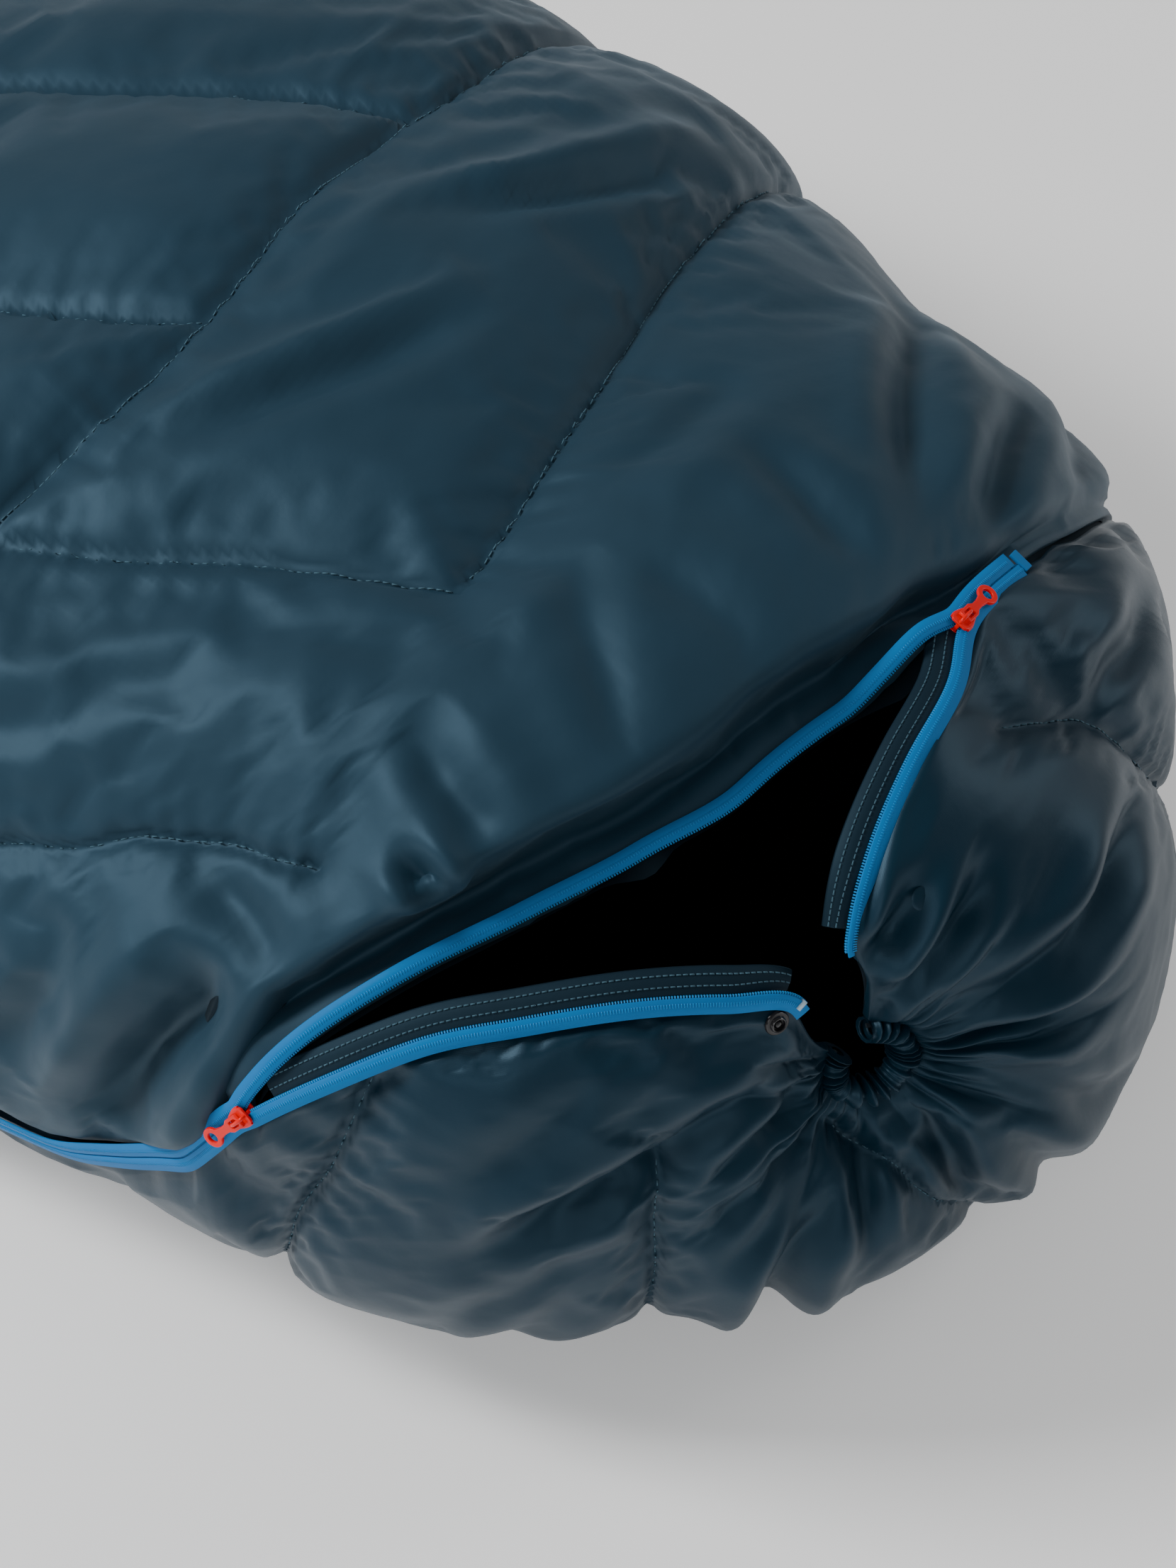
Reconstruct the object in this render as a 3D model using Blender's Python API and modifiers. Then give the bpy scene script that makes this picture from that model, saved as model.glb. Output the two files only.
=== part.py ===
"""Rectangular quilted sleeping bag, puffed up and lying on the ground.

Metres, +Z up.  +Y points to the head, -Y to the foot, -X to the long side with the zip.
The origin is on the ground under the middle of the bag.

The bag is a wide, flat tube that ends in a rounded cap at the foot.  A place on its outer
surface is given by an angle and a station:
  angle    degrees round the section: 0 far fold, 90 top, 180 zip side, 270 ground
  station  0 at the gathered hem in the foot, 1 at the seam between cap and tube, and
           above 1 the distance in metres from that seam towards the head, plus 1
"""
import math

import bmesh
import bpy
from mathutils import Matrix, Vector

# ---------------------------------------------------------------- driving dimensions
HALF_LENGTH = 1.012
SEAM_Y = -0.72
CAP_LENGTH = HALF_LENGTH + SEAM_Y
STRAIGHT_Y = 0.40

# y, half width, height, height of the widest level, x of the middle
SECTIONS = (
    (SEAM_Y, 0.315, 0.385, 0.165, -0.020),
    (-0.50, 0.375, 0.395, 0.160, 0.0),
    (-0.25, 0.405, 0.360, 0.140, 0.0),
    (0.05, 0.405, 0.275, 0.110, 0.0),
    (STRAIGHT_Y, 0.400, 0.200, 0.085, 0.0),
    (HALF_LENGTH, 0.400, 0.200, 0.085, 0.0),
)
TOP_EXPONENT = 2.3
GROUND_EXPONENT = 3.2
PLAN_EXPONENT = 1.7
GROUND_PRESS = 1.03

GATHER = Vector((-0.105, -0.945, 0.200))
GATHER_REACH = 0.065
HEM_STATION = 0.060
SLEEVE_STATION = 0.047

# how thick each layer is, and the air between two layers
CLOTH = 0.0006
LOFT = 0.022
LAYER_GAP = 0.0005
EDGE_LOFT = 0.28
EDGE_REACH = 0.06

# zip: each tape reaches from the coil to the quilt's edge
ZIP_MARGIN = 0.0115
TUCKED_MARGIN = 0.0160
SEAM_MARGIN = 0.0025
TAPE_INNER = 0.0010
TAPE_OUTER = 0.0066
TAPE_LIFT = 0.0003
TAPE_THICK = 0.0006
COIL_RADIUS = 0.0011
COIL_SIDE = 0.00135
COIL_DEPTH = 0.00105

# the closed zip along the near side: station, angle
SIDE_ZIP = (
    (0.90, 170.0), (0.94, 175.0), (1.00, 184.0), (1.05, 195.5), (1.10, 203.5), (1.18, 202.0),
    (1.40, 192.0), (1.80, 183.0), (1.0 + STRAIGHT_Y - SEAM_Y, 180.0),
    (1.0 + HALF_LENGTH - SEAM_Y, 180.0),
)
SIDE_SLIDER_STATION = 0.90
FOOT_SLIDER_STATION = 0.53
BLIND_STATION = 0.60
# the top quilt's foot edge: angle, station, and how far out it lies (1 is on the surface)
TOP_EDGE = (
    (-5.0, 0.86, 1.0), (0.0, 0.85, 1.0), (20.0, 0.77, 1.0), (33.0, 0.70, 1.0), (40.0, 0.66, 1.0),
    (47.0, 0.63, 1.0), (53.0, BLIND_STATION, 1.0), (64.0, FOOT_SLIDER_STATION, 1.0),
    (69.0, 0.522, 0.998), (74.5, 0.490, 0.955),
    (80.0, 0.462, 0.910), (97.0, 0.45, 0.88), (116.0, 0.52, 0.88),
    (132.0, 0.63, 0.905), (146.0, 0.755, 0.955), (157.0, 0.84, 0.988), (164.0, 0.878, 1.0),
    (170.0, SIDE_SLIDER_STATION, 1.0), (175.0, SIDE_SLIDER_STATION, 1.0),
)
FULL_TUCK = 0.12
# the foot flap's two free edges: station, angle
NEAR_EDGE = (
    (HEM_STATION, 118.0), (0.215, 112.0), (0.33, 122.5), (0.445, 132.0), (0.575, 142.0),
    (0.685, 149.5), (0.785, 158.5), (SIDE_SLIDER_STATION, 170.0),
)
FAR_EDGE = (
    (HEM_STATION, 94.0), (0.22, 97.0), (0.26, 94.0), (0.32, 87.0), (0.395, 77.0),
    (0.465, 68.0), (FOOT_SLIDER_STATION, 64.0), (BLIND_STATION, 53.0), (0.63, 47.0),
    (0.66, 40.0), (0.70, 33.0), (0.77, 20.0), (0.85, 0.0), (1.0, 0.0),
)
HEAD_SLIDER_Y = 0.965
HEAD_SLIDER_STATION = 1.0 + HEAD_SLIDER_Y - SEAM_Y
# beyond the head slider the two tapes part by twice this much over this length
HEAD_SPREAD = 0.0018
HEAD_SPREAD_LENGTH = 0.006
BINDING_RADIUS = 0.004
HEAD_STATION = 1.0 + HALF_LENGTH - SEAM_Y - 2 * BINDING_RADIUS - 0.0006


# ---------------------------------------------------------------- curves through points
def smooth_value(x, table, column):
    """A smooth curve through table's points that never overshoots them, level at its ends."""
    xs = [row[0] for row in table]
    ys = [row[column] for row in table]
    steps = [(ys[i + 1] - ys[i]) / (xs[i + 1] - xs[i]) for i in range(len(xs) - 1)]
    slopes = [0.0]
    for before, after in zip(steps, steps[1:]):
        same_way = before * after > 0
        slopes.append(2 * before * after / (before + after) if same_way else 0.0)
    slopes.append(0.0)
    x = min(max(x, xs[0]), xs[-1])
    i = max(k for k in range(len(xs) - 1) if xs[k] <= x)
    width = xs[i + 1] - xs[i]
    t = (x - xs[i]) / width
    return (
        (2 * t**3 - 3 * t**2 + 1) * ys[i]
        + (t**3 - 2 * t**2 + t) * width * slopes[i]
        + (3 * t**2 - 2 * t**3) * ys[i + 1]
        + (t**3 - t**2) * width * slopes[i + 1]
    )


def ease(t):
    """0 to 1, level at both ends."""
    t = min(max(t, 0.0), 1.0)
    return t * t * (3 - 2 * t)


def at_distance(points, distance):
    """The point that lies this far along a polyline, from its first point."""
    for a, b in zip(points, points[1:]):
        length = (b - a).length
        if distance <= length and length > 1e-9:
            return a.lerp(b, distance / length)
        distance -= length
    return points[-1] + (points[-1] - points[-2]).normalized() * distance


def length_of(points):
    return sum((b - a).length for a, b in zip(points, points[1:]))


# ---------------------------------------------------------------- the bag's outer surface
def section_at(y):
    """Half width, height over and under the widest level, that level, and the middle's x."""
    half, height, level, middle = (smooth_value(y, SECTIONS, k) for k in (1, 2, 3, 4))
    return half, height - level, level * GROUND_PRESS, level, middle


def reach(direction, half, over, under):
    """How many times this direction fits between the middle and the surface."""
    side = abs(direction.x / half) ** PLAN_EXPONENT
    end = abs(min(direction.y, 0.0) / CAP_LENGTH) ** PLAN_EXPONENT
    plan = (side + end) ** (1 / PLAN_EXPONENT)
    rise = over if direction.z > 0 else under
    power = TOP_EXPONENT if direction.z > 0 else GROUND_EXPONENT
    return (plan**power + abs(direction.z / rise) ** power) ** (-1 / power)


def section_direction(angle, half, over, under):
    sine = math.sin(math.radians(angle))
    return Vector((half * math.cos(math.radians(angle)), 0, (over if sine > 0 else under) * sine))


CAP_MIDDLE = Vector((SECTIONS[0][4], SEAM_Y, SECTIONS[0][3]))
GATHER_AXIS = (GATHER - CAP_MIDDLE).normalized()


def tube_point(angle, y, out):
    half, over, under, level, middle = section_at(y)
    direction = section_direction(angle, half, over, under)
    point = Vector((middle, y, level)) + direction * reach(direction, half, over, under) * out
    point.z = max(point.z, 0.0)
    return point


def cap_point(angle, station, out):
    half, over, under, _, _ = section_at(SEAM_Y)
    rim = section_direction(angle, half, over, under).normalized()
    spread = math.acos(GATHER_AXIS.dot(rim))
    direction = (
        GATHER_AXIS * math.sin((1 - station) * spread) + rim * math.sin(station * spread)
    ) / math.sin(spread)
    radius = reach(direction, half, over, under) * out
    point = CAP_MIDDLE + direction * radius
    from_axis = (point - CAP_MIDDLE).cross(GATHER_AXIS).length
    crown = CAP_MIDDLE + GATHER_AXIS * reach(GATHER_AXIS, half, over, under)
    depth = (crown - CAP_MIDDLE).length - (GATHER - CAP_MIDDLE).length
    point -= GATHER_AXIS * depth * math.exp(-((from_axis / GATHER_REACH) ** 2))
    point.z = max(point.z, 0.0)
    return point


def surface_point(angle, station, out=1.0):
    if station <= 1.0:
        return cap_point(angle, station, out)
    return tube_point(angle, SEAM_Y + station - 1.0, out)


# ---------------------------------------------------------------- edges of the three quilts
def side_angle(station):
    return smooth_value(station, SIDE_ZIP, 1)


def across_margin(angle, station, distance):
    """The change of angle that moves a point this far round the surface."""
    step = 0.5
    ahead = surface_point(angle + step, station)
    behind = surface_point(angle - step, station)
    return 2 * step * distance / max((ahead - behind).length, 1e-6)


def top_angle(across, station):
    """across is 0 at the far fold and 1 at the zip."""
    near = side_angle(station)
    near -= across_margin(near, station, ZIP_MARGIN)
    far = across_margin(0.0, station, SEAM_MARGIN)
    return far + (near - far) * across


def top_path(across):
    """The top quilt's outer line from head to foot edge."""
    foot_angle = top_angle(across, SIDE_SLIDER_STATION)
    end_station = smooth_value(foot_angle, TOP_EDGE, 1)
    end_out = smooth_value(foot_angle, TOP_EDGE, 2)
    tuck = (1 - end_out) / FULL_TUCK
    roll_start = end_station + 0.025 + 0.030 * tuck
    stations = [HEAD_STATION - 0.06 * k for k in range(200) if HEAD_STATION - 0.06 * k > 1.0]
    points = [surface_point(top_angle(across, s), s) for s in stations]
    stations = [1.0 - 0.01 * k for k in range(100) if 1.0 - 0.01 * k > roll_start + 0.002]
    stations.append(roll_start)
    for station in stations:
        angle = top_angle(across, max(station, SIDE_SLIDER_STATION))
        points.append(surface_point(angle, station))
    # the edge rolls over a lip and under it, where it is tucked in deeply enough
    bulge = 0.1125 * tuck * ease((tuck - 0.35) / 0.5)
    lip_station = (roll_start + end_station) / 2 - bulge
    lip_out = (1 + end_out) / 2 + 0.4 * bulge
    for k in range(1, 13):
        t = k / 12
        weights = ((1 - t) ** 2, 2 * t * (1 - t), t * t)
        station = weights[0] * roll_start + weights[1] * lip_station + weights[2] * end_station
        out = weights[0] + weights[1] * lip_out + weights[2] * end_out
        angle = top_angle(across, max(station, SIDE_SLIDER_STATION))
        points.append(surface_point(angle, station, out))
    return points


def bottom_point(across, station):
    """across is 0 at the zip, 1 at the far fold."""
    near = side_angle(station)
    near += across_margin(near, station, ZIP_MARGIN)
    far = 360.0 - across_margin(360.0, station, SEAM_MARGIN)
    return surface_point(near + (far - near) * across, station)


def near_edge_angle(station):
    if station > SIDE_SLIDER_STATION:
        return side_angle(station)
    return smooth_value(station, NEAR_EDGE, 1)


def far_edge_angle(station):
    return smooth_value(station, FAR_EDGE, 1)


def foot_point(across, station):
    """across is 0 at the zip's near edge and 1 at its far edge, round by the ground."""
    near = near_edge_angle(station)
    near += across_margin(near, station, ZIP_MARGIN)
    far = 360.0 + far_edge_angle(station)
    zipped = 1 - ease((station - BLIND_STATION - 0.02) / 0.03)
    margin = SEAM_MARGIN + (ZIP_MARGIN - SEAM_MARGIN) * zipped
    far -= across_margin(far, station, margin)
    return surface_point(near + (far - near) * across, station)


# ---------------------------------------------------------------- scene, materials, objects
def clear_scene():
    for item in list(bpy.data.objects):
        bpy.data.objects.remove(item, do_unlink=True)


def new_collection(name):
    collection = bpy.data.collections.new(name)
    bpy.context.scene.collection.children.link(collection)
    return collection


def make_material(name, colour, roughness, metallic=0.0):
    material = bpy.data.materials.new(name)
    material.use_nodes = True
    shader = material.node_tree.nodes["Principled BSDF"]
    shader.inputs["Base Color"].default_value = (*colour, 1.0)
    shader.inputs["Roughness"].default_value = roughness
    shader.inputs["Metallic"].default_value = metallic
    return material


def add_object(name, mesh, material, collection):
    item = bpy.data.objects.new(name, mesh)
    mesh.materials.append(material)
    collection.objects.link(item)
    return item


def mesh_from(bm, name):
    mesh = bpy.data.meshes.new(name)
    bm.to_mesh(mesh)
    bm.free()
    return mesh


# ---------------------------------------------------------------- quilted sheets
def grid_normals(point, columns, rows, step):
    """Outer points and outward normals over a grid of the two parameters."""
    places = {}
    for i, u in enumerate(columns):
        for j, v in enumerate(rows):
            middle = point(u, v)
            along_u = point(u + step[0], v) - point(u - step[0], v)
            along_v = point(u, v + step[1]) - point(u, v - step[1])
            normal = along_u.cross(along_v).normalized()
            places[i, j] = (middle, normal)
    return places


def layer(name, places, columns, rows, top, bottom, material, collection):
    """A closed sheet between two depths under the outer surface: a loft from face to face."""
    bm = bmesh.new()
    outer = {}
    inner = {}
    for (i, j), (middle, normal) in places.items():
        outer[i, j] = bm.verts.new(middle - normal * top(i, j))
        inner[i, j] = bm.verts.new(middle - normal * bottom(i, j))
    for i in range(columns - 1):
        for j in range(rows - 1):
            # both faces are split along the same diagonal, so that layers stay parallel
            for corners in (
                ((i, j), (i + 1, j), (i + 1, j + 1)),
                ((i, j), (i + 1, j + 1), (i, j + 1)),
            ):
                bm.faces.new([outer[c] for c in corners])
                bm.faces.new([inner[c] for c in reversed(corners)])
    rim = [(i, 0) for i in range(columns - 1)]
    rim += [(columns - 1, j) for j in range(rows - 1)]
    rim += [(i, rows - 1) for i in range(columns - 1, 0, -1)]
    rim += [(0, j) for j in range(rows - 1, 0, -1)]
    for a, b in zip(rim, rim[1:] + rim[:1]):
        bm.faces.new([outer[b], outer[a], inner[a]])
        bm.faces.new([outer[b], inner[a], inner[b]])
    bmesh.ops.recalc_face_normals(bm, faces=bm.faces)
    mesh = mesh_from(bm, name)
    mesh.shade_smooth()
    mesh.set_sharp_from_angle(angle=math.radians(50))
    return add_object(name, mesh, material, collection)


def quilt(prefix, point, columns, rows, step, loft_at, air, materials, collection, bare_rows=0):
    """Outer shell, filling and lining of one quilt; the lining leaves out the first bare rows."""
    places = grid_normals(point, columns, rows, step)
    middle, normal = places[len(columns) // 2, len(rows) // 2]
    spine = Vector((0.0, middle.y * 0.7, section_at(middle.y)[3]))
    if normal.dot(middle - spine) < 0:
        places = {key: (spot, -facing) for key, (spot, facing) in places.items()}
    fill_top = CLOTH + air

    def loft(i, j):
        return LOFT * loft_at(columns[i], rows[j])

    size = (len(columns), len(rows))
    layer(prefix + "_shell", places, *size, lambda i, j: 0.0, lambda i, j: CLOTH,
          materials["shell"], collection)
    layer(prefix + "_fill", places, *size, lambda i, j: fill_top,
          lambda i, j: fill_top + loft(i, j), materials["fill"], collection)
    places = {(i, j - bare_rows): spot for (i, j), spot in places.items() if j >= bare_rows}

    def lining_depth(i, j):
        return fill_top + loft(i, j + bare_rows) + air

    layer(prefix + "_lining", places, size[0], size[1] - bare_rows, lining_depth,
          lambda i, j: lining_depth(i, j) + CLOTH, materials["lining"], collection)


def edge_loft(*distances):
    """The share of the full loft, thin near a sewn edge."""
    nearest = min(distances)
    return EDGE_LOFT + (1 - EDGE_LOFT) * ease(nearest / EDGE_REACH)


def build_top_quilt(materials, collection):
    angles = (0, 15, 29, 40, 53, 64, 69, 75, 82, 91, 101, 112, 123, 133, 142, 150, 157, 163, 167, 170)
    columns = [angle / angles[-1] for angle in angles]
    full = 1.55
    rows = [0.0, 0.012, 0.028, 0.048, 0.075, 0.11, 0.16, 0.23, 0.32, 0.43, 0.56, 0.72, 0.90]
    rows += [1.10, 1.32, full]

    def point(across, from_foot):
        foot_angle = top_angle(across, SIDE_SLIDER_STATION)
        zipped = ease((foot_angle - 45.0) / 4.0)
        margin = SEAM_MARGIN + (TUCKED_MARGIN - SEAM_MARGIN) * zipped
        path = top_path(across)[::-1]
        stretch = (length_of(path) - margin) / full
        return at_distance(path, margin + from_foot * stretch)

    def loft(across, from_foot):
        near = (1 - across) * 1.1
        rolled = 0.16 + 0.84 * ease((from_foot - 0.03) / 0.12)
        return min(edge_loft(near, full - from_foot, from_foot + 0.004), rolled)

    quilt("top", point, columns, rows, (0.002, 0.003), loft, 2 * LAYER_GAP, materials, collection,
          bare_rows=4)


def build_bottom_quilt(materials, collection):
    columns = [k / 10 for k in range(11)]
    last = HEAD_STATION
    rows = [1.003, 1.04, 1.09, 1.16, 1.28, 1.44, 1.64, 1.88, 2.12, 2.42, last]

    def loft(across, station):
        return edge_loft(across * 1.0, last - station, station - 1.0 + 0.05)

    quilt("bottom", bottom_point, columns, rows, (0.002, 0.0005), loft, LAYER_GAP, materials, collection)


def build_foot_quilt(materials, collection):
    columns = [k / 16 for k in range(17)]
    rows = [HEM_STATION, 0.10, 0.16, 0.24, 0.33, 0.43, 0.53, BLIND_STATION]
    rows += [0.66, 0.72, 0.79, 0.85, 0.92, 0.997]

    def loft(across, station):
        return edge_loft(across * 0.9, (1 - across) * 0.9, (station - HEM_STATION) * 0.5,
                         (1.0 - station) * 0.4 + 0.05)

    quilt("foot", foot_point, columns, rows, (0.002, 0.0005), loft, LAYER_GAP, materials, collection)


# ---------------------------------------------------------------- zip: rails and frames
class Spot:
    """A place on a zip rail: the point, the outward normal, the rail's way and the tape's side."""

    def __init__(self, point, normal, way, side, spread):
        self.point = point
        self.normal = normal
        self.way = way
        self.side = side
        self.spread = spread

    def shifted(self, sideways, outward):
        return self.point + self.side * (sideways + self.spread) + self.normal * outward


def surface_normal(angle, station):
    step = 0.4
    across = surface_point(angle + step, station) - surface_point(angle - step, station)
    along = surface_point(angle, station + 0.004) - surface_point(angle, station - 0.004)
    return across.cross(along).normalized() * -1.0


def spots_along(places, towards):
    """Frames along a rail of (angle, station, out) places; towards is a point the tape faces."""
    points = [surface_point(*place) for place in places]
    spots = []
    for k, place in enumerate(places):
        way = (points[min(k + 1, len(points) - 1)] - points[max(k - 1, 0)]).normalized()
        normal = surface_normal(place[0], min(max(place[1], 0.02), HEAD_STATION))
        if normal.dot(points[k] - Vector((0.0, points[k].y * 0.7, 0.15))) < 0:
            normal = -normal
        normal = (normal - way * normal.dot(way)).normalized()
        side = normal.cross(way)
        if side.dot(towards[k] - points[k]) < 0:
            side = -side
        spread = HEAD_SPREAD * ease((place[1] - HEAD_SLIDER_STATION) / HEAD_SPREAD_LENGTH)
        spots.append(Spot(points[k], normal, way, side, spread))
    return spots


def closed_side_places():
    stations = [HEAD_STATION - 0.004, HEAD_SLIDER_STATION + HEAD_SPREAD_LENGTH]
    stations += [HEAD_SLIDER_STATION - 0.075 * k for k in range(14)]
    stations += [1.62, 1.52, 1.42, 1.34, 1.27, 1.21, 1.16, 1.12, 1.08, 1.05, 1.02, 0.99, 0.96]
    stations += [0.93, SIDE_SLIDER_STATION]
    return [(side_angle(s), s, 1.0) for s in stations]


def top_edge_places():
    """Places from just past the side slider to the foot slider."""
    first = SIDE_ZIP[0][1] - 3.0
    slider = far_edge_angle(FOOT_SLIDER_STATION)
    angles = [first + (slider - first) * k / 24 for k in range(25)]
    return [(a, smooth_value(a, TOP_EDGE, 1), smooth_value(a, TOP_EDGE, 2)) for a in angles]


def free_edge_places(edge_angle, stations):
    return [(edge_angle(s), s, 1.0) for s in stations]


def rails():
    """The three tapes' rails: along the top quilt, along the bottom and flap, along the flap's far edge."""
    closed = closed_side_places()
    closed_foot = free_edge_places(far_edge_angle, [BLIND_STATION, 0.58, 0.555])
    top = closed + top_edge_places() + closed_foot[::-1]
    top_towards = [surface_point(angle * 0.9, station + 0.08) for angle, station, _ in top]
    near_stations = [0.87, 0.83, 0.785, 0.735, 0.685, 0.63, 0.575, 0.51, 0.445, 0.385, 0.33]
    near_stations += [0.27, 0.215, 0.16, 0.11]
    near = closed + free_edge_places(near_edge_angle, near_stations)
    near_towards = [surface_point(angle + 8.0, station) for angle, station, _ in near]
    far_stations = [FOOT_SLIDER_STATION, 0.505, 0.485, 0.465, 0.43]
    far_stations += [0.395, 0.36, 0.32, 0.29, 0.26, 0.22, 0.17, 0.12]
    far = closed_foot + free_edge_places(far_edge_angle, far_stations)
    far_towards = [surface_point(angle - 8.0, station) for angle, station, _ in far]
    return {
        "top": spots_along(top, top_towards),
        "bottom": spots_along(near, near_towards),
        "foot": spots_along(far, far_towards),
    }


def strip(name, spots, inner, outer, low, high, material, collection):
    """A flat strip along a rail: an open ribbon of faces, thickened by Solidify."""
    bm = bmesh.new()
    bmesh.ops.create_grid(bm, x_segments=len(spots) - 1, y_segments=1, size=0.5)
    for vert in bm.verts:
        spot = spots[round((vert.co.x + 0.5) * (len(spots) - 1))]
        vert.co = spot.shifted(outer if vert.co.y > 0 else inner, (low + high) / 2)
    bmesh.ops.triangulate(bm, faces=bm.faces)
    item = add_object(name, mesh_from(bm, name), material, collection)
    solidify = item.modifiers.new("thickness", "SOLIDIFY")
    solidify.thickness = high - low
    solidify.offset = 0.0
    return item


def tube(name, points, radius, material, collection, resolution=1, cyclic=False):
    """A round tube through points."""
    curve = bpy.data.curves.new(name, "CURVE")
    curve.dimensions = "3D"
    curve.bevel_depth = radius
    curve.bevel_resolution = resolution
    curve.use_fill_caps = not cyclic
    line = curve.splines.new("POLY")
    line.points.add(len(points) - 1)
    line.use_cyclic_u = cyclic
    for spot, point in zip(line.points, points):
        spot.co = (*point, 1.0)
    curve.materials.append(material)
    item = bpy.data.objects.new(name, curve)
    collection.objects.link(item)
    return item


def build_zip(materials, collection):
    for name, spots in rails().items():
        strip("zip_tape_" + name, spots, TAPE_INNER, TAPE_OUTER, TAPE_LIFT,
              TAPE_LIFT + TAPE_THICK, materials["tape"], collection)
        coil = [spot.shifted(COIL_SIDE, -COIL_DEPTH) for spot in spots]
        tube("zip_coil_" + name, coil, COIL_RADIUS, materials["coil"], collection)


# ---------------------------------------------------------------- sliders and pullers
PLATE_LENGTH = 0.0100
PLATE_WIDTH = 0.0084
PLATE_THICK = 0.0011
CHAMBER = 0.0025
WEDGE_WIDTH = 0.0008
WEDGE_LENGTH = 0.0016
BRIDGE_REACH = 0.0034
BRIDGE_WIRE = 0.0006
BRIDGE_RISE = 0.0026
PIVOT_RISE = 0.0012
PULL_THICK = 0.0013
PULL_LENGTH = 0.0230


def frame_matrix(origin, ahead, outward):
    """Local X ahead, to the open side; local Z outward; local Y across."""
    across = outward.cross(ahead).normalized()
    rotation = Matrix((ahead, across, outward)).transposed().to_4x4()
    return Matrix.Translation(origin) @ rotation


def box(bm, low, high):
    size = [b - a for a, b in zip(low, high)]
    middle = [(a + b) / 2 for a, b in zip(low, high)]
    matrix = Matrix.Translation(middle) @ Matrix.Diagonal((*size, 1.0))
    bmesh.ops.create_cube(bm, size=1.0, matrix=matrix)


def slider_plate(name, level, collection):
    """A plate that narrows towards the closed chain, with rounded corners."""
    half = PLATE_WIDTH / 2
    nose = PLATE_LENGTH / 2
    outline = ((nose, half * 0.8), (nose * 0.4, half), (-nose, half * 0.72))
    curve = bpy.data.curves.new(name, "CURVE")
    curve.dimensions = "2D"
    curve.fill_mode = "BOTH"
    curve.extrude = PLATE_THICK / 2
    line = curve.splines.new("POLY")
    corners = [*outline, *[(x, -y) for x, y in reversed(outline)]]
    line.points.add(len(corners) - 1)
    line.use_cyclic_u = True
    for spot, corner in zip(line.points, corners):
        spot.co = (*corner, 0.0, 1.0)
    item = bpy.data.objects.new(name, curve)
    item.location = (0, 0, level)
    collection.objects.link(item)
    return item


def to_mesh_object(item, collection, matrix=None):
    """The object's evaluated shape as a welded mesh object; the first object is removed."""
    bpy.context.view_layer.update()
    shape = bpy.data.meshes.new_from_object(
        item.evaluated_get(bpy.context.evaluated_depsgraph_get()))
    shape.transform(item.matrix_world)
    if matrix is not None:
        shape.transform(matrix)
    name = item.name
    bpy.data.objects.remove(item, do_unlink=True)
    bm = bmesh.new()
    bm.from_mesh(shape)
    bmesh.ops.remove_doubles(bm, verts=bm.verts, dist=0.00001)
    bmesh.ops.recalc_face_normals(bm, faces=bm.faces)
    bm.to_mesh(shape)
    bm.free()
    made = bpy.data.objects.new(name, shape)
    collection.objects.link(made)
    return made


def union(item, other):
    cut = item.modifiers.new("join_" + other.name, "BOOLEAN")
    cut.operation = "UNION"
    cut.object = other
    other.hide_render = True
    other.display_type = "WIRE"


def build_slider_body(prefix, empty, material, collection, helpers):
    """Two plates joined by the wedge that parts the chain."""
    gap = CHAMBER / 2 + 0.0006
    outer = slider_plate(prefix + "_slider_body", gap + PLATE_THICK / 2 + 0.0006, helpers)
    outer = to_mesh_object(outer, collection)
    inner = to_mesh_object(
        slider_plate(prefix + "_inner_plate", -gap - PLATE_THICK / 2 - 0.0012, helpers), helpers)
    bm = bmesh.new()
    nose = PLATE_LENGTH / 2 - 0.0003
    box(bm, (nose - WEDGE_LENGTH, -WEDGE_WIDTH / 2, -gap - 0.0016),
        (nose, WEDGE_WIDTH / 2, gap + 0.0010))
    wedge = bpy.data.objects.new(prefix + "_wedge", mesh_from(bm, prefix + "_wedge"))
    helpers.objects.link(wedge)
    union(outer, inner)
    union(outer, wedge)
    outer.data.materials.append(material)
    for item in (outer, inner, wedge):
        item.parent = empty
    return gap + PLATE_THICK + 0.0006


def build_bridge(prefix, empty, top, material, collection):
    """The wire loop on the slider that holds the puller."""
    foot = top + BRIDGE_WIRE + 0.0003
    points = []
    for k in range(9):
        turn = math.pi * k / 8
        rise = foot + (BRIDGE_RISE - BRIDGE_WIRE) * math.sin(turn) ** 0.6
        points.append(Vector((BRIDGE_REACH * math.cos(turn), 0, rise)))
    loop = tube(prefix + "_slider_bridge", points, BRIDGE_WIRE, material, collection, 2)
    loop.parent = empty
    return loop


def puller_outline():
    """The tab's outer line and its two windows, from the pivot towards the ring."""
    neck = 0.0021
    eye = 0.0031
    ring = 0.0041
    ring_middle = -(PULL_LENGTH - ring)
    outer = [(0.0008, -eye), (0.0008, eye), (-0.0070, eye), (-0.0086, neck), (-0.0125, neck)]
    for k in range(13):
        turn = math.radians(35 + 290 * k / 12)
        outer.append((ring_middle + ring * math.cos(turn), ring * math.sin(turn)))
    outer += [(-0.0125, -neck), (-0.0086, -neck), (-0.0070, -eye)]
    window = [(-0.0008, 0.0017), (-0.0008, -0.0017), (-0.0058, -0.0017), (-0.0058, 0.0017)]
    hole = []
    for k in range(12):
        turn = math.radians(30 * k)
        hole.append((ring_middle + 0.0022 * math.cos(turn), 0.0022 * math.sin(turn)))
    return outer, window, hole


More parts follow.
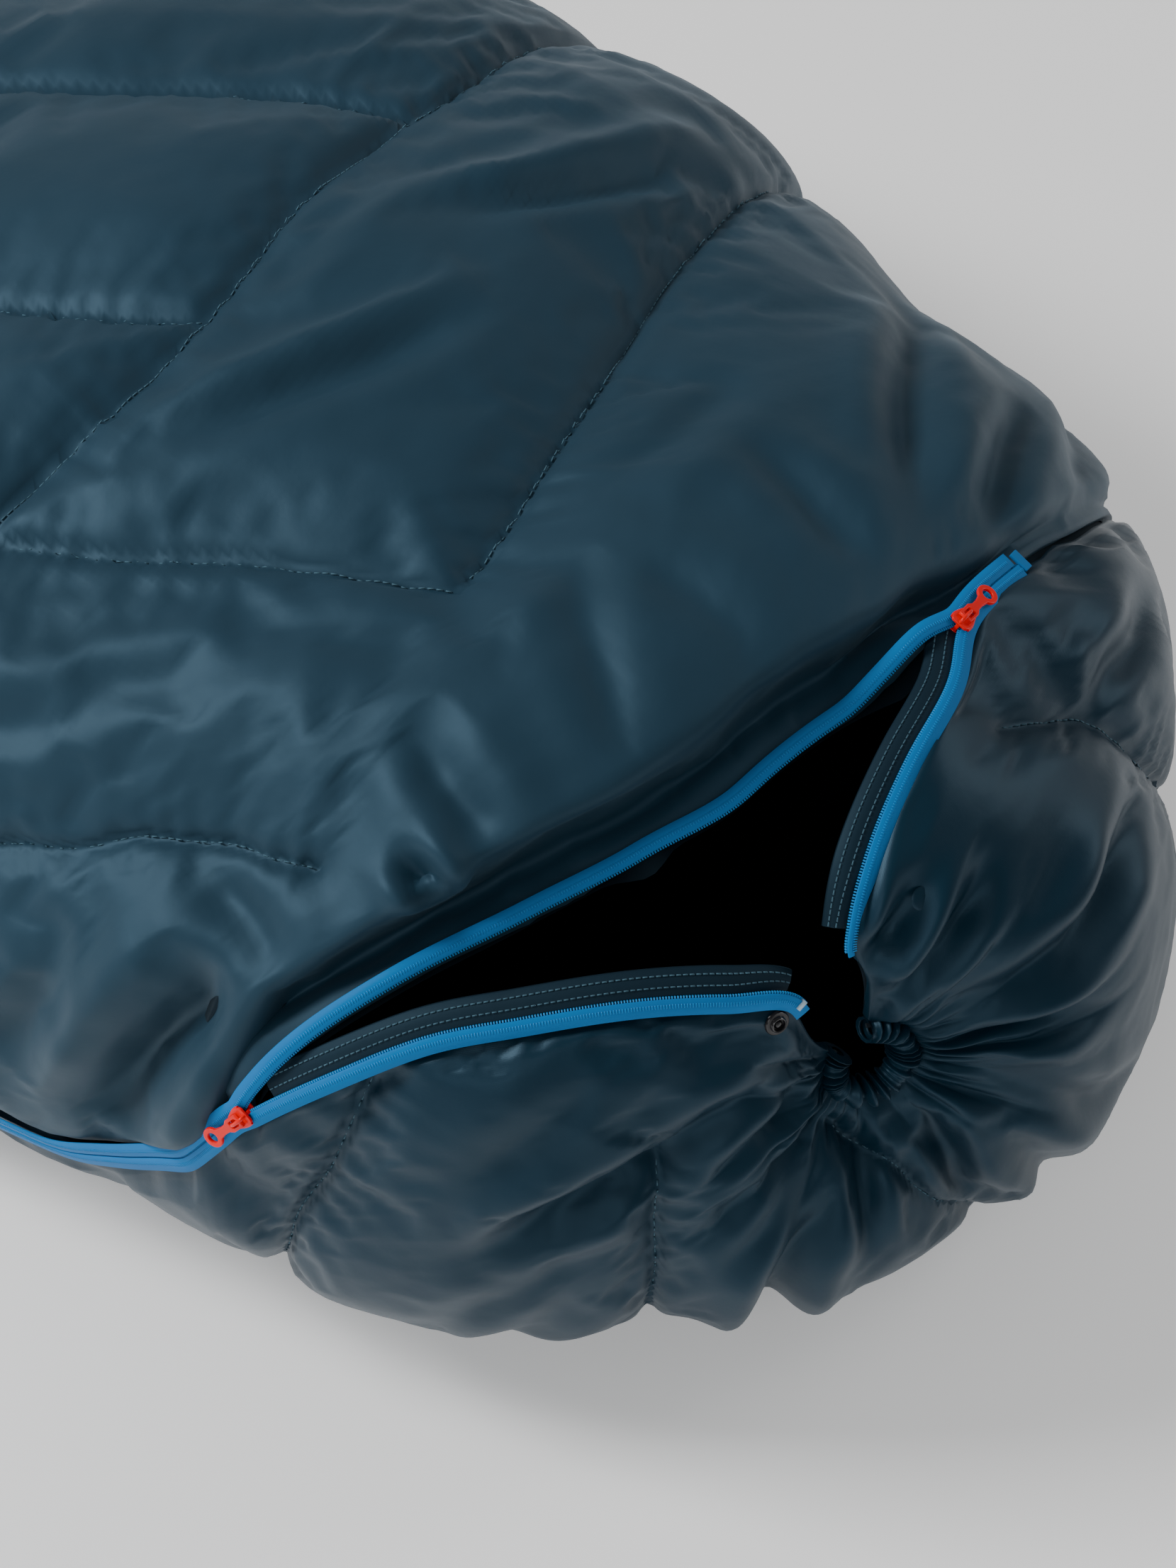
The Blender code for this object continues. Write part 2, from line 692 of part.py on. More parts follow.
def build_puller(prefix, empty, material, collection):
    """A flat tab with an eye round the bridge and a ring at the end; its origin is the pivot."""
    name = prefix + "_puller"
    curve = bpy.data.curves.new(name, "CURVE")
    curve.dimensions = "2D"
    curve.fill_mode = "BOTH"
    curve.extrude = PULL_THICK / 2
    for outline in puller_outline():
        line = curve.splines.new("POLY")
        line.points.add(len(outline) - 1)
        line.use_cyclic_u = True
        for spot, corner in zip(line.points, outline):
            spot.co = (*corner, 0.0, 1.0)
    item = bpy.data.objects.new(name, curve)
    collection.objects.link(item)
    item = to_mesh_object(item, collection)
    item.name = name
    item.data.materials.append(material)
    item.parent = empty
    return item


def build_slider(prefix, origin, ahead, outward, materials, collection, helpers):
    empty = bpy.data.objects.new(prefix + "_slider_axis", None)
    empty.matrix_world = frame_matrix(origin, ahead, outward)
    collection.objects.link(empty)
    top = build_slider_body(prefix, empty, materials["slider"], collection, helpers)
    build_bridge(prefix, empty, top, materials["slider"], collection)
    pivot = bpy.data.objects.new(prefix + "_puller_axis", None)
    pivot.parent = empty
    pivot.location = (0, 0, top + PIVOT_RISE)
    collection.objects.link(pivot)
    build_puller(prefix, pivot, materials["puller"], collection)


def chain_frame(angle, station, ahead_angle, ahead_station):
    """Point, way to the open side and outward normal on the closed chain."""
    here = surface_point(angle, station)
    ahead = (surface_point(ahead_angle, ahead_station) - here).normalized()
    normal = surface_normal(angle, station)
    if normal.dot(here - Vector((0.0, here.y * 0.7, 0.15))) < 0:
        normal = -normal
    normal = (normal - ahead * normal.dot(ahead)).normalized()
    return here, ahead, normal


def slider_frames():
    behind = SIDE_SLIDER_STATION + 0.05
    side = chain_frame(side_angle(SIDE_SLIDER_STATION), SIDE_SLIDER_STATION,
                       side_angle(behind), behind)
    blind = chain_frame(far_edge_angle(FOOT_SLIDER_STATION), FOOT_SLIDER_STATION,
                        far_edge_angle(BLIND_STATION), BLIND_STATION)
    head = chain_frame(180.0, HEAD_SLIDER_STATION, 180.0, HEAD_SLIDER_STATION + 0.03)
    return {
        "side": (side[0], -side[1], side[2]),
        "foot": (blind[0], -blind[1], blind[2]),
        "head": head,
    }


# ---------------------------------------------------------------- snap, hem, trims
SNAP_FLANGE = 0.0060
SNAP_POST = 0.0030
SNAP_RISE = 0.0024


def turned(name, profile, matrix, material, collection, steps=20):
    """A turned piece: a profile of (radius, height) spun by a Screw modifier."""
    mesh = bpy.data.meshes.new(name)
    mesh.from_pydata([(r, 0, z) for r, z in profile],
                     [(k, k + 1) for k in range(len(profile) - 1)], [])
    item = add_object(name, mesh, material, collection)
    screw = item.modifiers.new("spin", "SCREW")
    screw.axis = "Z"
    screw.steps = steps
    screw.render_steps = steps
    screw.use_merge_vertices = True
    screw.merge_threshold = 0.00001
    item.matrix_world = matrix
    return item


def build_snaps(materials, collection):
    fill = CLOTH * 2 + LAYER_GAP * 2 + LOFT
    stud_angle = near_edge_angle(0.24) + 13.0
    socket_angle = far_edge_angle(0.24) - 16.0
    for prefix, angle, outer_profile, inner_profile in (
        ("stud", stud_angle,
         ((0.0, SNAP_RISE), (SNAP_POST * 0.8, SNAP_RISE), (SNAP_POST, SNAP_RISE * 0.7),
          (SNAP_POST * 0.8, 0.0010), (SNAP_FLANGE * 0.9, 0.0010), (SNAP_FLANGE, 0.0003),
          (SNAP_FLANGE * 0.9, 0.0), (0.0, 0.0)),
         ((0.0, 0.0012), (SNAP_FLANGE * 0.8, 0.0010), (SNAP_FLANGE, 0.0), (0.0, 0.0))),
        ("socket", socket_angle,
         ((0.0, 0.0012), (SNAP_FLANGE * 0.8, 0.0010), (SNAP_FLANGE, 0.0), (0.0, 0.0)),
         ((0.0, 0.0008), (SNAP_POST, 0.0008), (SNAP_POST, 0.0028), (SNAP_FLANGE * 0.75, 0.0028),
          (SNAP_FLANGE, 0.0010), (SNAP_FLANGE, 0.0), (0.0, 0.0))),
    ):
        here, ahead, normal = chain_frame(angle, 0.24, angle, 0.27)
        outer = frame_matrix(here + normal * 0.0012, ahead, normal)
        inner = frame_matrix(here - normal * (fill + 0.003), ahead, -normal)
        turned("snap_" + prefix + "_outer", outer_profile, outer, materials["snap"], collection)
        turned("snap_" + prefix + "_inner", inner_profile, inner, materials["snap"], collection)


SLEEVE_RADIUS = 0.0045
SLEEVE_WALL = 0.0006
ELASTIC_RADIUS = 0.0014


def build_hem(materials, collection):
    """The sleeve round the gathered hole, open at both ends, and the elastic cord in it."""
    near = near_edge_angle(HEM_STATION) + 12.0
    far = 360.0 + far_edge_angle(HEM_STATION) - 12.0
    count = 26
    ring = []
    for k in range(count + 1):
        angle = near + (far - near) * k / count
        normal = GATHER_AXIS
        ring.append(surface_point(angle, SLEEVE_STATION) - normal * 0.004)
    elastic = tube("foot_elastic_cord", ring, ELASTIC_RADIUS, materials["elastic"], collection)
    elastic.data.use_fill_caps = True
    sleeve = tube("foot_hem_sleeve", ring[1:-1], SLEEVE_RADIUS, materials["shell"], collection, 1)
    sleeve.data.use_fill_caps = False
    sleeve = to_mesh_object(sleeve, collection)
    wall = sleeve.modifiers.new("wall", "SOLIDIFY")
    wall.thickness = SLEEVE_WALL
    wall.offset = -1.0


def build_trims(materials, collection):
    """Bindings at the head, draft tube behind the side zip, facings behind the free edges."""
    for name, angles in (("head_binding_top", (8.0, 172.0)), ("head_binding_bottom", (188.0, 352.0))):
        points = []
        for k in range(25):
            angle = angles[0] + (angles[1] - angles[0]) * k / 24
            point = tube_point(angle, HALF_LENGTH - BINDING_RADIUS, 1.0)
            normal = surface_normal(angle, 2.6)
            if normal.dot(point - Vector((0.0, point.y, 0.08))) < 0:
                normal = -normal
            points.append(point - normal * (BINDING_RADIUS + 0.0002))
        tube(name, points, BINDING_RADIUS, materials["binding"], collection)
    stations = [1.06 + 0.075 * k for k in range(21)]
    draft = [surface_point(side_angle(s) - 1.0, s, 0.87) for s in stations]
    tube("side_draft_tube", draft, 0.009, materials["lining"], collection)
    spots = rails()
    for name, row, skip in (("near_facing", spots["bottom"], 33), ("far_facing", spots["foot"], 5)):
        strip(name, row[skip:-2], -0.013, 0.0004, -0.0038, -0.0026, materials["lining"], collection)


def build_stops(materials, collection):
    """Top stops at the head, the sewn end beyond the foot slider, end stops at the hem."""
    blind = chain_frame(far_edge_angle(BLIND_STATION), BLIND_STATION,
                        far_edge_angle(FOOT_SLIDER_STATION), FOOT_SLIDER_STATION)
    bm = bmesh.new()
    box(bm, (-0.0060, -0.0050, -0.0010), (-0.0012, 0.0050, 0.0012))
    end = add_object("zip_blind_end_stop", mesh_from(bm, "zip_blind_end_stop"),
                     materials["coil"], collection)
    end.matrix_world = frame_matrix(*blind)
    head_station = HEAD_STATION - 0.004
    head = chain_frame(180.0, head_station, 180.0, head_station - 0.03)
    for name, side in (("zip_head_stop_bottom", -1), ("zip_head_stop_top", 1)):
        low, high = sorted((side * 0.0020, side * 0.0046))
        bm = bmesh.new()
        box(bm, (-0.0027, low, -0.0012), (-0.0004, high, 0.0012))
        stop = add_object(name, mesh_from(bm, name), materials["coil"], collection)
        stop.matrix_world = frame_matrix(*head)


def main():
    clear_scene()
    bag = new_collection("rectangular_sleeping_bag")
    helpers = new_collection("cutters")
    materials = {
        "shell": make_material("shell_satin", (0.020, 0.065, 0.105), 0.42),
        "fill": make_material("hollow_fibre", (0.85, 0.86, 0.86), 0.95),
        "lining": make_material("lining", (0.006, 0.012, 0.020), 0.6),
        "tape": make_material("zip_tape", (0.03, 0.28, 0.62), 0.7),
        "coil": make_material("zip_coil", (0.06, 0.36, 0.72), 0.45),
        "slider": make_material("slider_red", (0.85, 0.01, 0.008), 0.3),
        "puller": make_material("puller_red", (0.85, 0.01, 0.008), 0.35),
        "snap": make_material("snap_black", (0.008, 0.008, 0.010), 0.2),
        "elastic": make_material("elastic_cord", (0.01, 0.01, 0.012), 0.8),
        "binding": make_material("binding", (0.012, 0.035, 0.06), 0.55),
    }
    build_top_quilt(materials, bag)
    build_bottom_quilt(materials, bag)
    build_foot_quilt(materials, bag)
    build_zip(materials, bag)
    for prefix, frame in slider_frames().items():
        build_slider(prefix, *frame, materials, bag, helpers)
    build_snaps(materials, bag)
    build_hem(materials, bag)
    build_trims(materials, bag)
    build_stops(materials, bag)


main()
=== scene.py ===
"""Rectangular quilted sleeping bag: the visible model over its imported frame.

Metres, +Z up, +Y to the head, -X to the long side with the zip.  A place on the bag's outer
surface is given by an angle round the section (0 far fold, 90 top, 180 zip side, 270 ground)
and a station (0 at the gathered hem, 1 at the seam behind the foot, then metres plus 1).
"""

import math

import bmesh
import bpy
import numpy as np
from mathutils import Matrix, Vector, noise
from mathutils.bvhtree import BVHTree


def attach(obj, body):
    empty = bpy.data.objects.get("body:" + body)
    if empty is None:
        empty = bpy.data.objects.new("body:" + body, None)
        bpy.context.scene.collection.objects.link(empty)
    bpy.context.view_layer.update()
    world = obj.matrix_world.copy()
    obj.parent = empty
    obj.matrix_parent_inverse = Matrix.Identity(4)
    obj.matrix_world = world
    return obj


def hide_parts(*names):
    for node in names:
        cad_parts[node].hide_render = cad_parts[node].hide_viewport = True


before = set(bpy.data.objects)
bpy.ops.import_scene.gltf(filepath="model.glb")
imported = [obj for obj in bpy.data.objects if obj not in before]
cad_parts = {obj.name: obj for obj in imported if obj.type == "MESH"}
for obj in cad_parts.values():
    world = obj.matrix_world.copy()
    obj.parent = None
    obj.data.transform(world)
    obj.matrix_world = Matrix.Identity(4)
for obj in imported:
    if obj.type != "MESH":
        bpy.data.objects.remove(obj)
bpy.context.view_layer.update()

# ------------------------------------------------------------ the bag's shape, as in the CAD
HALF_LENGTH = 1.012
SEAM_Y = -0.72
CAP_LENGTH = HALF_LENGTH + SEAM_Y
SECTIONS = (
    (SEAM_Y, 0.315, 0.385, 0.165, -0.020),
    (-0.50, 0.375, 0.395, 0.160, 0.0),
    (-0.25, 0.405, 0.360, 0.140, 0.0),
    (0.05, 0.405, 0.275, 0.110, 0.0),
    (0.40, 0.400, 0.200, 0.085, 0.0),
    (HALF_LENGTH, 0.400, 0.200, 0.085, 0.0),
)
TOP_EXPONENT = 2.3
GROUND_EXPONENT = 3.2
PLAN_EXPONENT = 1.7
GROUND_PRESS = 1.03
GATHER = np.array((-0.105, -0.945, 0.200))
GATHER_REACH = 0.065
HEAD_STATION = 1.0 + HALF_LENGTH - SEAM_Y - 0.0086
SIDE_ZIP = (
    (0.90, 170.0), (0.94, 175.0), (1.00, 184.0), (1.05, 195.5), (1.10, 203.5), (1.18, 202.0),
    (1.40, 192.0), (1.80, 183.0), (2.12, 180.0), (2.732, 180.0),
)
TOP_EDGE = (
    (-5.0, 0.86, 1.0), (0.0, 0.85, 1.0), (20.0, 0.77, 1.0), (33.0, 0.70, 1.0), (40.0, 0.66, 1.0),
    (47.0, 0.63, 1.0), (53.0, 0.60, 1.0), (64.0, 0.53, 1.0), (69.0, 0.522, 0.998),
    (74.5, 0.490, 0.955), (80.0, 0.462, 0.910), (97.0, 0.45, 0.88), (116.0, 0.52, 0.88),
    (132.0, 0.63, 0.905), (146.0, 0.755, 0.955), (157.0, 0.84, 0.988), (164.0, 0.878, 1.0),
    (170.0, 0.90, 1.0), (175.0, 0.90, 1.0),
)
NEAR_EDGE = (
    (0.060, 118.0), (0.215, 112.0), (0.33, 122.5), (0.445, 132.0), (0.575, 142.0),
    (0.685, 149.5), (0.785, 158.5), (0.90, 170.0), (0.94, 175.0), (1.00, 184.0),
)
FAR_EDGE = (
    (0.060, 94.0), (0.22, 97.0), (0.26, 94.0), (0.32, 87.0), (0.395, 77.0), (0.465, 68.0),
    (0.53, 64.0), (0.60, 53.0), (0.63, 47.0), (0.66, 40.0), (0.70, 33.0), (0.77, 20.0),
    (0.85, 0.0), (1.0, 0.0),
)
# the lip that the top quilt's foot edge rolls over: angle, station, and the share of the way out
# from the middle that the hollow behind it keeps; the hollow is deeper than the CAD's
LIP = (
    (-5.0, 0.90, 0.985), (0.0, 0.89, 0.985), (33.0, 0.74, 0.98), (50.0, 0.655, 0.965),
    (60.0, 0.60, 0.935), (67.0, 0.585, 0.89), (76.0, 0.565, 0.855), (96.0, 0.570, 0.825),
    (111.0, 0.610, 0.822), (122.0, 0.68, 0.828), (133.0, 0.76, 0.842), (144.0, 0.84, 0.875),
    (157.0, 0.94, 0.915), (166.0, 0.975, 0.955), (175.0, 0.99, 0.985), (190.0, 1.0, 0.99),
)


def smooth(x, table, column):
    """Vectorised smooth curve through table's points that never overshoots them."""
    xs = np.array([row[0] for row in table])
    ys = np.array([row[column] for row in table])
    steps = np.diff(ys) / np.diff(xs)
    both = steps[:-1] * steps[1:]
    same_way = both > 0
    slopes = np.zeros_like(ys)
    slopes[1:-1] = np.where(same_way, 2 * both / np.where(same_way, steps[:-1] + steps[1:], 1), 0)
    x = np.clip(x, xs[0], xs[-1])
    i = np.clip(np.searchsorted(xs, x, side="right") - 1, 0, len(xs) - 2)
    width = xs[i + 1] - xs[i]
    t = (x - xs[i]) / width
    return (
        (2 * t**3 - 3 * t**2 + 1) * ys[i]
        + (t**3 - 2 * t**2 + t) * width * slopes[i]
        + (3 * t**2 - 2 * t**3) * ys[i + 1]
        + (t**3 - t**2) * width * slopes[i + 1]
    )


def ease(t):
    t = np.clip(t, 0.0, 1.0)
    return t * t * (3 - 2 * t)


def unit(v):
    return v / np.maximum(np.linalg.norm(v, axis=-1, keepdims=True), 1e-12)


def reach(direction, half, over, under):
    side = np.abs(direction[..., 0] / half) ** PLAN_EXPONENT
    end = np.abs(np.minimum(direction[..., 1], 0.0) / CAP_LENGTH) ** PLAN_EXPONENT
    plan = (side + end) ** (1 / PLAN_EXPONENT)
    up = direction[..., 2] > 0
    rise = np.where(up, over, under)
    power = np.where(up, TOP_EXPONENT, GROUND_EXPONENT)
    return (plan**power + np.abs(direction[..., 2] / rise) ** power) ** (-1 / power)


CAP_MIDDLE = np.array((SECTIONS[0][4], SEAM_Y, SECTIONS[0][3]))
GATHER_AXIS = unit(GATHER - CAP_MIDDLE)


def surface(angle, station, out=1.0):
    """Points on the bag's outer surface, or at a share of its distance from the middle."""
    angle, station, out = np.broadcast_arrays(*(np.asarray(v, float) for v in (angle, station, out)))
    y = SEAM_Y + np.maximum(station - 1.0, 0.0)
    half, height, level, middle = (smooth(y, SECTIONS, k) for k in (1, 2, 3, 4))
    over, under = height - level, level * GROUND_PRESS
    sine, cosine = np.sin(np.radians(angle)), np.cos(np.radians(angle))
    rim = unit(np.stack([half * cosine, 0 * half, np.where(sine > 0, over, under) * sine], -1))
    spread = np.arccos(np.clip(rim @ GATHER_AXIS, -1, 1))[..., None]
    share = np.clip(station, 0.0, 1.0)[..., None]
    ahead = (GATHER_AXIS * np.sin((1 - share) * spread) + rim * np.sin(share * spread)) / np.sin(spread)
    radius = (reach(ahead, half, over, under) * out)[..., None]
    points = np.stack([middle, y, level], -1) + ahead * radius
    off_axis = np.linalg.norm(np.cross(points - CAP_MIDDLE, GATHER_AXIS), axis=-1)
    seam = SECTIONS[0]
    crown = reach(GATHER_AXIS, seam[1], seam[2] - seam[3], seam[3] * GROUND_PRESS)
    depth = crown - np.linalg.norm(GATHER - CAP_MIDDLE)
    dimple = depth * np.exp(-((off_axis / GATHER_REACH) ** 2)) * (station < 1.0)
    points = points - GATHER_AXIS * dimple[..., None]
    points[..., 2] = np.maximum(points[..., 2], 0.0)
    return points


def facing(points):
    """The outward direction of each point of a grid, rows first."""
    along = np.gradient(points, axis=0)
    across = np.gradient(points, axis=1)
    normal = unit(np.cross(along, across))
    middle = np.stack([0 * points[..., 0], points[..., 1] * 0.7, 0 * points[..., 0] + 0.14], -1)
    flip = np.sum(np.sum(normal * (points - middle), -1)) < 0
    return -normal if flip else normal


def margin(angle, station, distance):
    """The change of angle that moves a point this far round the surface."""
    size = np.linalg.norm(surface(angle + 0.5, station) - surface(angle - 0.5, station), axis=-1)
    return distance / np.maximum(size, 1e-5)


# ------------------------------------------------------------ seams, creases and wrinkles
# quilting lines of the top quilt: angle, station
TOP_SEAMS = (
    ((-2, 1.36), (25, 1.345), (47, 1.325), (61, 1.297), (71, 1.284), (79, 1.273), (87, 1.262), (93, 1.248),
     (101, 1.234), (112, 1.223), (124, 1.224), (140, 1.236), (160, 1.26), (185, 1.30)),
    ((-2, 1.19), (25, 1.17), (45, 1.142), (59, 1.111), (68, 1.091), (76, 1.071), (83, 1.055), (90, 1.042),
     (97, 1.029), (103, 1.020), (109, 1.014)),
    ((109, 1.014), (111, 1.031), (115, 1.074), (119, 1.117), (123, 1.155), (127, 1.215)),
    ((71, 1.284), (73, 1.316), (75, 1.349), (79, 1.395), (84, 1.456), (90, 1.55), (94, 1.66)),
    ((101, 1.234), (104, 1.264), (106, 1.293), (108, 1.327), (114, 1.42), (120, 1.55), (124, 1.66)),
    ((138, 0.929), (140, 1.001), (141, 1.023), (143, 1.042), (145, 1.064), (150, 1.094), (152, 1.119),
     (158, 1.16), (170, 1.20), (190, 1.235)),
    ((-2, 1.62), (30, 1.62), (60, 1.64), (94, 1.66), (124, 1.66), (150, 1.69), (182, 1.74)),
    ((94, 1.66), (99, 1.80), (105, 1.95), (109, 2.08)),
    ((60, 1.64), (62, 1.80), (66, 2.06)),
    ((124, 1.66), (128, 1.85), (134, 2.08)),
    ((-2, 2.04), (30, 2.05), (66, 2.06), (109, 2.08), (134, 2.08), (160, 2.11), (182, 2.14)),
    ((50, 2.055), (54, 2.25), (58, 2.44)),
    ((88, 2.07), (92, 2.25), (96, 2.455)),
    ((134, 2.08), (138, 2.25), (142, 2.46)),
    ((-2, 2.42), (30, 2.43), (58, 2.44), (96, 2.455), (142, 2.46), (182, 2.48)),
    ((75, 2.45), (77, 2.60), (78, 2.735)),
    ((118, 2.46), (120, 2.60), (121, 2.735)),
)
FOOT_SEAMS = (
    ((158, 0.742), (170, 0.766), (183, 0.801), (196, 0.853), (207, 0.885), (222, 0.96), (230, 1.0)),
    ((184, 0.335), (203, 0.349), (228, 0.382), (241, 0.441), (254, 0.57), (260, 0.72), (263, 1.0)),
    ((254, 0.075), (274, 0.114), (278, 0.162), (283, 0.239), (286, 0.35), (287, 0.45),
     (292, 0.60), (300, 0.80), (304, 1.0)),
    ((418, 0.412), (408, 0.424), (401, 0.438), (390, 0.44), (375, 0.45), (355, 0.52),
     (340, 0.68), (330, 1.0)),
)
BOTTOM_SEAMS = tuple(
    tuple((angle, station + 0.05 * math.sin(math.radians(angle) * 3)) for angle in range(178, 364, 6))
    for station in (1.22, 1.50, 1.78, 2.06, 2.34)
)
# creases: line, depth, half width
TOP_CREASES = (
    (((148, 0.95), (155, 0.985), (160, 1.002), (169, 1.023), (182, 1.05), (196, 1.082)), 0.024, 0.017),
    (((163, 1.06), (172, 1.09), (185, 1.13)), 0.008, 0.014),
    (((134, 0.70), (133, 0.76), (131, 0.84)), 0.013, 0.007),
    (((150, 0.88), (147, 0.96), (146, 1.04)), 0.007, 0.012),
    (((125, 0.68), (124, 0.80), (121, 0.95)), 0.007, 0.012),
    (((108, 0.60), (105, 0.74), (98, 0.96)), 0.003, 0.012),
    (((90, 0.56), (92, 0.70), (96, 0.90)), 0.003, 0.012),
    (((74, 0.60), (76, 0.75), (80, 0.95)), 0.006, 0.012),
    (((66, 0.62), (62, 0.78), (52, 0.96), (40, 1.06)), 0.010, 0.012),
    (((58, 0.62), (50, 0.75), (38, 0.88)), 0.008, 0.010),
    (((40, 0.70), (30, 0.82), (22, 0.98)), 0.007, 0.012),
    (((118, 1.215), (113, 1.200), (105, 1.179), (96, 1.157), (78, 1.137)), -0.007, 0.013),
    (((114, 1.180), (104, 1.152), (95, 1.134), (84, 1.120)), 0.005, 0.011),
    (((86, 1.215), (71, 1.188), (52, 1.181), (40, 1.185)), -0.006, 0.013),
    (((82, 1.190), (70, 1.163), (54, 1.155)), 0.005, 0.010),
    (((126, 1.10), (120, 1.04), (112, 0.95), (103, 0.86)), 0.006, 0.016),
    (((120, 1.00), (110, 0.93), (99, 0.88)), -0.005, 0.013),
    (((96, 1.00), (84, 0.99), (70, 1.02)), 0.005, 0.013),
    (((136, 1.14), (131, 1.09), (124, 1.05)), 0.005, 0.012),
    (((146, 1.20), (140, 1.14), (135, 1.09)), 0.006, 0.013),
    (((100, 1.215), (90, 1.225), (80, 1.240)), 0.004, 0.010),
)
FOOT_CREASES = (
    (((133, 0.09), (153, 0.197), (165, 0.271), (174, 0.329), (186, 0.425), (193, 0.505),
      (201, 0.587), (207, 0.65)), 0.018, 0.011),
    (((140, 0.12), (158, 0.24), (170, 0.32), (181, 0.42), (190, 0.52)), -0.008, 0.012),
    (((190, 0.06), (205, 0.12), (222, 0.168)), -0.008, 0.007),
    (((245, 0.08), (248, 0.16), (252, 0.257), (264, 0.46), (268, 0.62)), 0.015, 0.011),
    (((228, 0.07), (233, 0.14), (236, 0.22), (240, 0.32)), 0.010, 0.009),
    (((100, 0.09), (97, 0.167), (84, 0.211), (76, 0.28)), 0.012, 0.008),
    (((80, 0.09), (72, 0.15), (66, 0.21), (62, 0.28)), 0.012, 0.008),
    (((420, 0.07), (398, 0.13), (391, 0.204), (386, 0.32), (380, 0.42)), 0.014, 0.011),
    (((405, 0.09), (395, 0.20), (398, 0.33)), -0.008, 0.012),
    (((372, 0.06), (367, 0.10), (362, 0.16), (355, 0.24)), 0.009, 0.008),
    (((340, 0.06), (325, 0.12), (317, 0.185), (313, 0.30), (316, 0.42)), 0.007, 0.010),
    (((312, 0.06), (302, 0.16), (296, 0.30), (292, 0.471), (290, 0.56)), 0.008, 0.010),
    (((292, 0.07), (288, 0.13), (286, 0.185), (288, 0.26)), 0.009, 0.007),
    (((268, 0.07), (266, 0.14), (268, 0.24)), 0.009, 0.007),
    (((205, 0.07), (214, 0.15), (222, 0.25), (228, 0.33)), 0.010, 0.009),
    (((165, 0.08), (182, 0.16), (194, 0.24), (203, 0.31)), 0.011, 0.009),
    (((146, 0.45), (160, 0.50), (172, 0.58), (178, 0.66)), 0.005, 0.012),
    (((196, 0.42), (206, 0.47), (216, 0.58), (226, 0.72)), 0.007, 0.012),
    (((212, 0.42), (222, 0.50), (232, 0.62), (240, 0.75)), 0.006, 0.012),
    (((272, 0.35), (276, 0.50), (280, 0.66)), 0.007, 0.012),
    (((330, 0.45), (336, 0.60), (345, 0.75)), 0.007, 0.012),
    (((402, 0.46), (392, 0.55), (380, 0.66)), 0.007, 0.011),
    (((410, 0.45), (400, 0.52), (388, 0.62)), -0.005, 0.009),
)


SEAM_DEPTH, SEAM_WIDTH = 0.0075, 0.011
STITCH_DEPTH, STITCH_WIDTH = 0.0035, 0.0035
PUFF_REACH = 0.085


def dense(line, step=0.006):
    """Angle and station at a fine even step along a smooth line through these places."""
    places = np.array(line, float)
    rough = surface(places[:, 0], places[:, 1])
    gaps = np.linalg.norm(np.diff(rough, axis=0), axis=1)
    at = np.concatenate([[0.0], np.cumsum(gaps)])
    count = max(3, int(at[-1] / step))
    t = np.linspace(0, at[-1], count)
    slopes = np.gradient(places, at, axis=0) if len(places) > 2 else np.diff(places, axis=0)[[0, 0]] / at[-1]
    i = np.clip(np.searchsorted(at, t, side="right") - 1, 0, len(at) - 2)
    h = (at[i + 1] - at[i])[:, None]
    s = ((t - at[i])[:, None]) / h
    return (
        (2 * s**3 - 3 * s**2 + 1) * places[i]
        + (s**3 - 2 * s**2 + s) * h * slopes[i]
        + (3 * s**2 - 2 * s**3) * places[i + 1]
        + (s**3 - s**2) * h * slopes[i + 1]
    )


def distance_to(points, line, limit):
    """Distance from each point to a polyline, and how far along it the nearest place is."""
    best = np.full(len(points), limit)
    along = np.zeros(len(points))
    low, high = line.min(0) - limit, line.max(0) + limit
    near = np.nonzero(np.all((points > low) & (points < high), axis=1))[0]
    if not len(near):
        return best, along
    some = points[near]
    mine, where, run = np.full(len(near), limit), np.zeros(len(near)), 0.0
    for a, b in zip(line[:-1], line[1:]):
        way = b - a
        size = max(np.linalg.norm(way), 1e-9)
        t = np.clip((some - a) @ way / size**2, 0, 1)
        d = np.linalg.norm(some - (a + t[:, None] * way), axis=1)
        closer = d < mine
        mine = np.where(closer, d, mine)
        where = np.where(closer, run + t * size, where)
        run += size
    best[near], along[near] = mine, where
    return best, along


def field(points, scale, seed, stretch=(1, 1, 1)):
    """Smooth noise between about -1 and 1; stretch draws it out along the axes."""
    spots = points / (np.array(stretch) * scale) + seed * 17.31
    return np.array([noise.noise(spot) for spot in spots.tolist()])


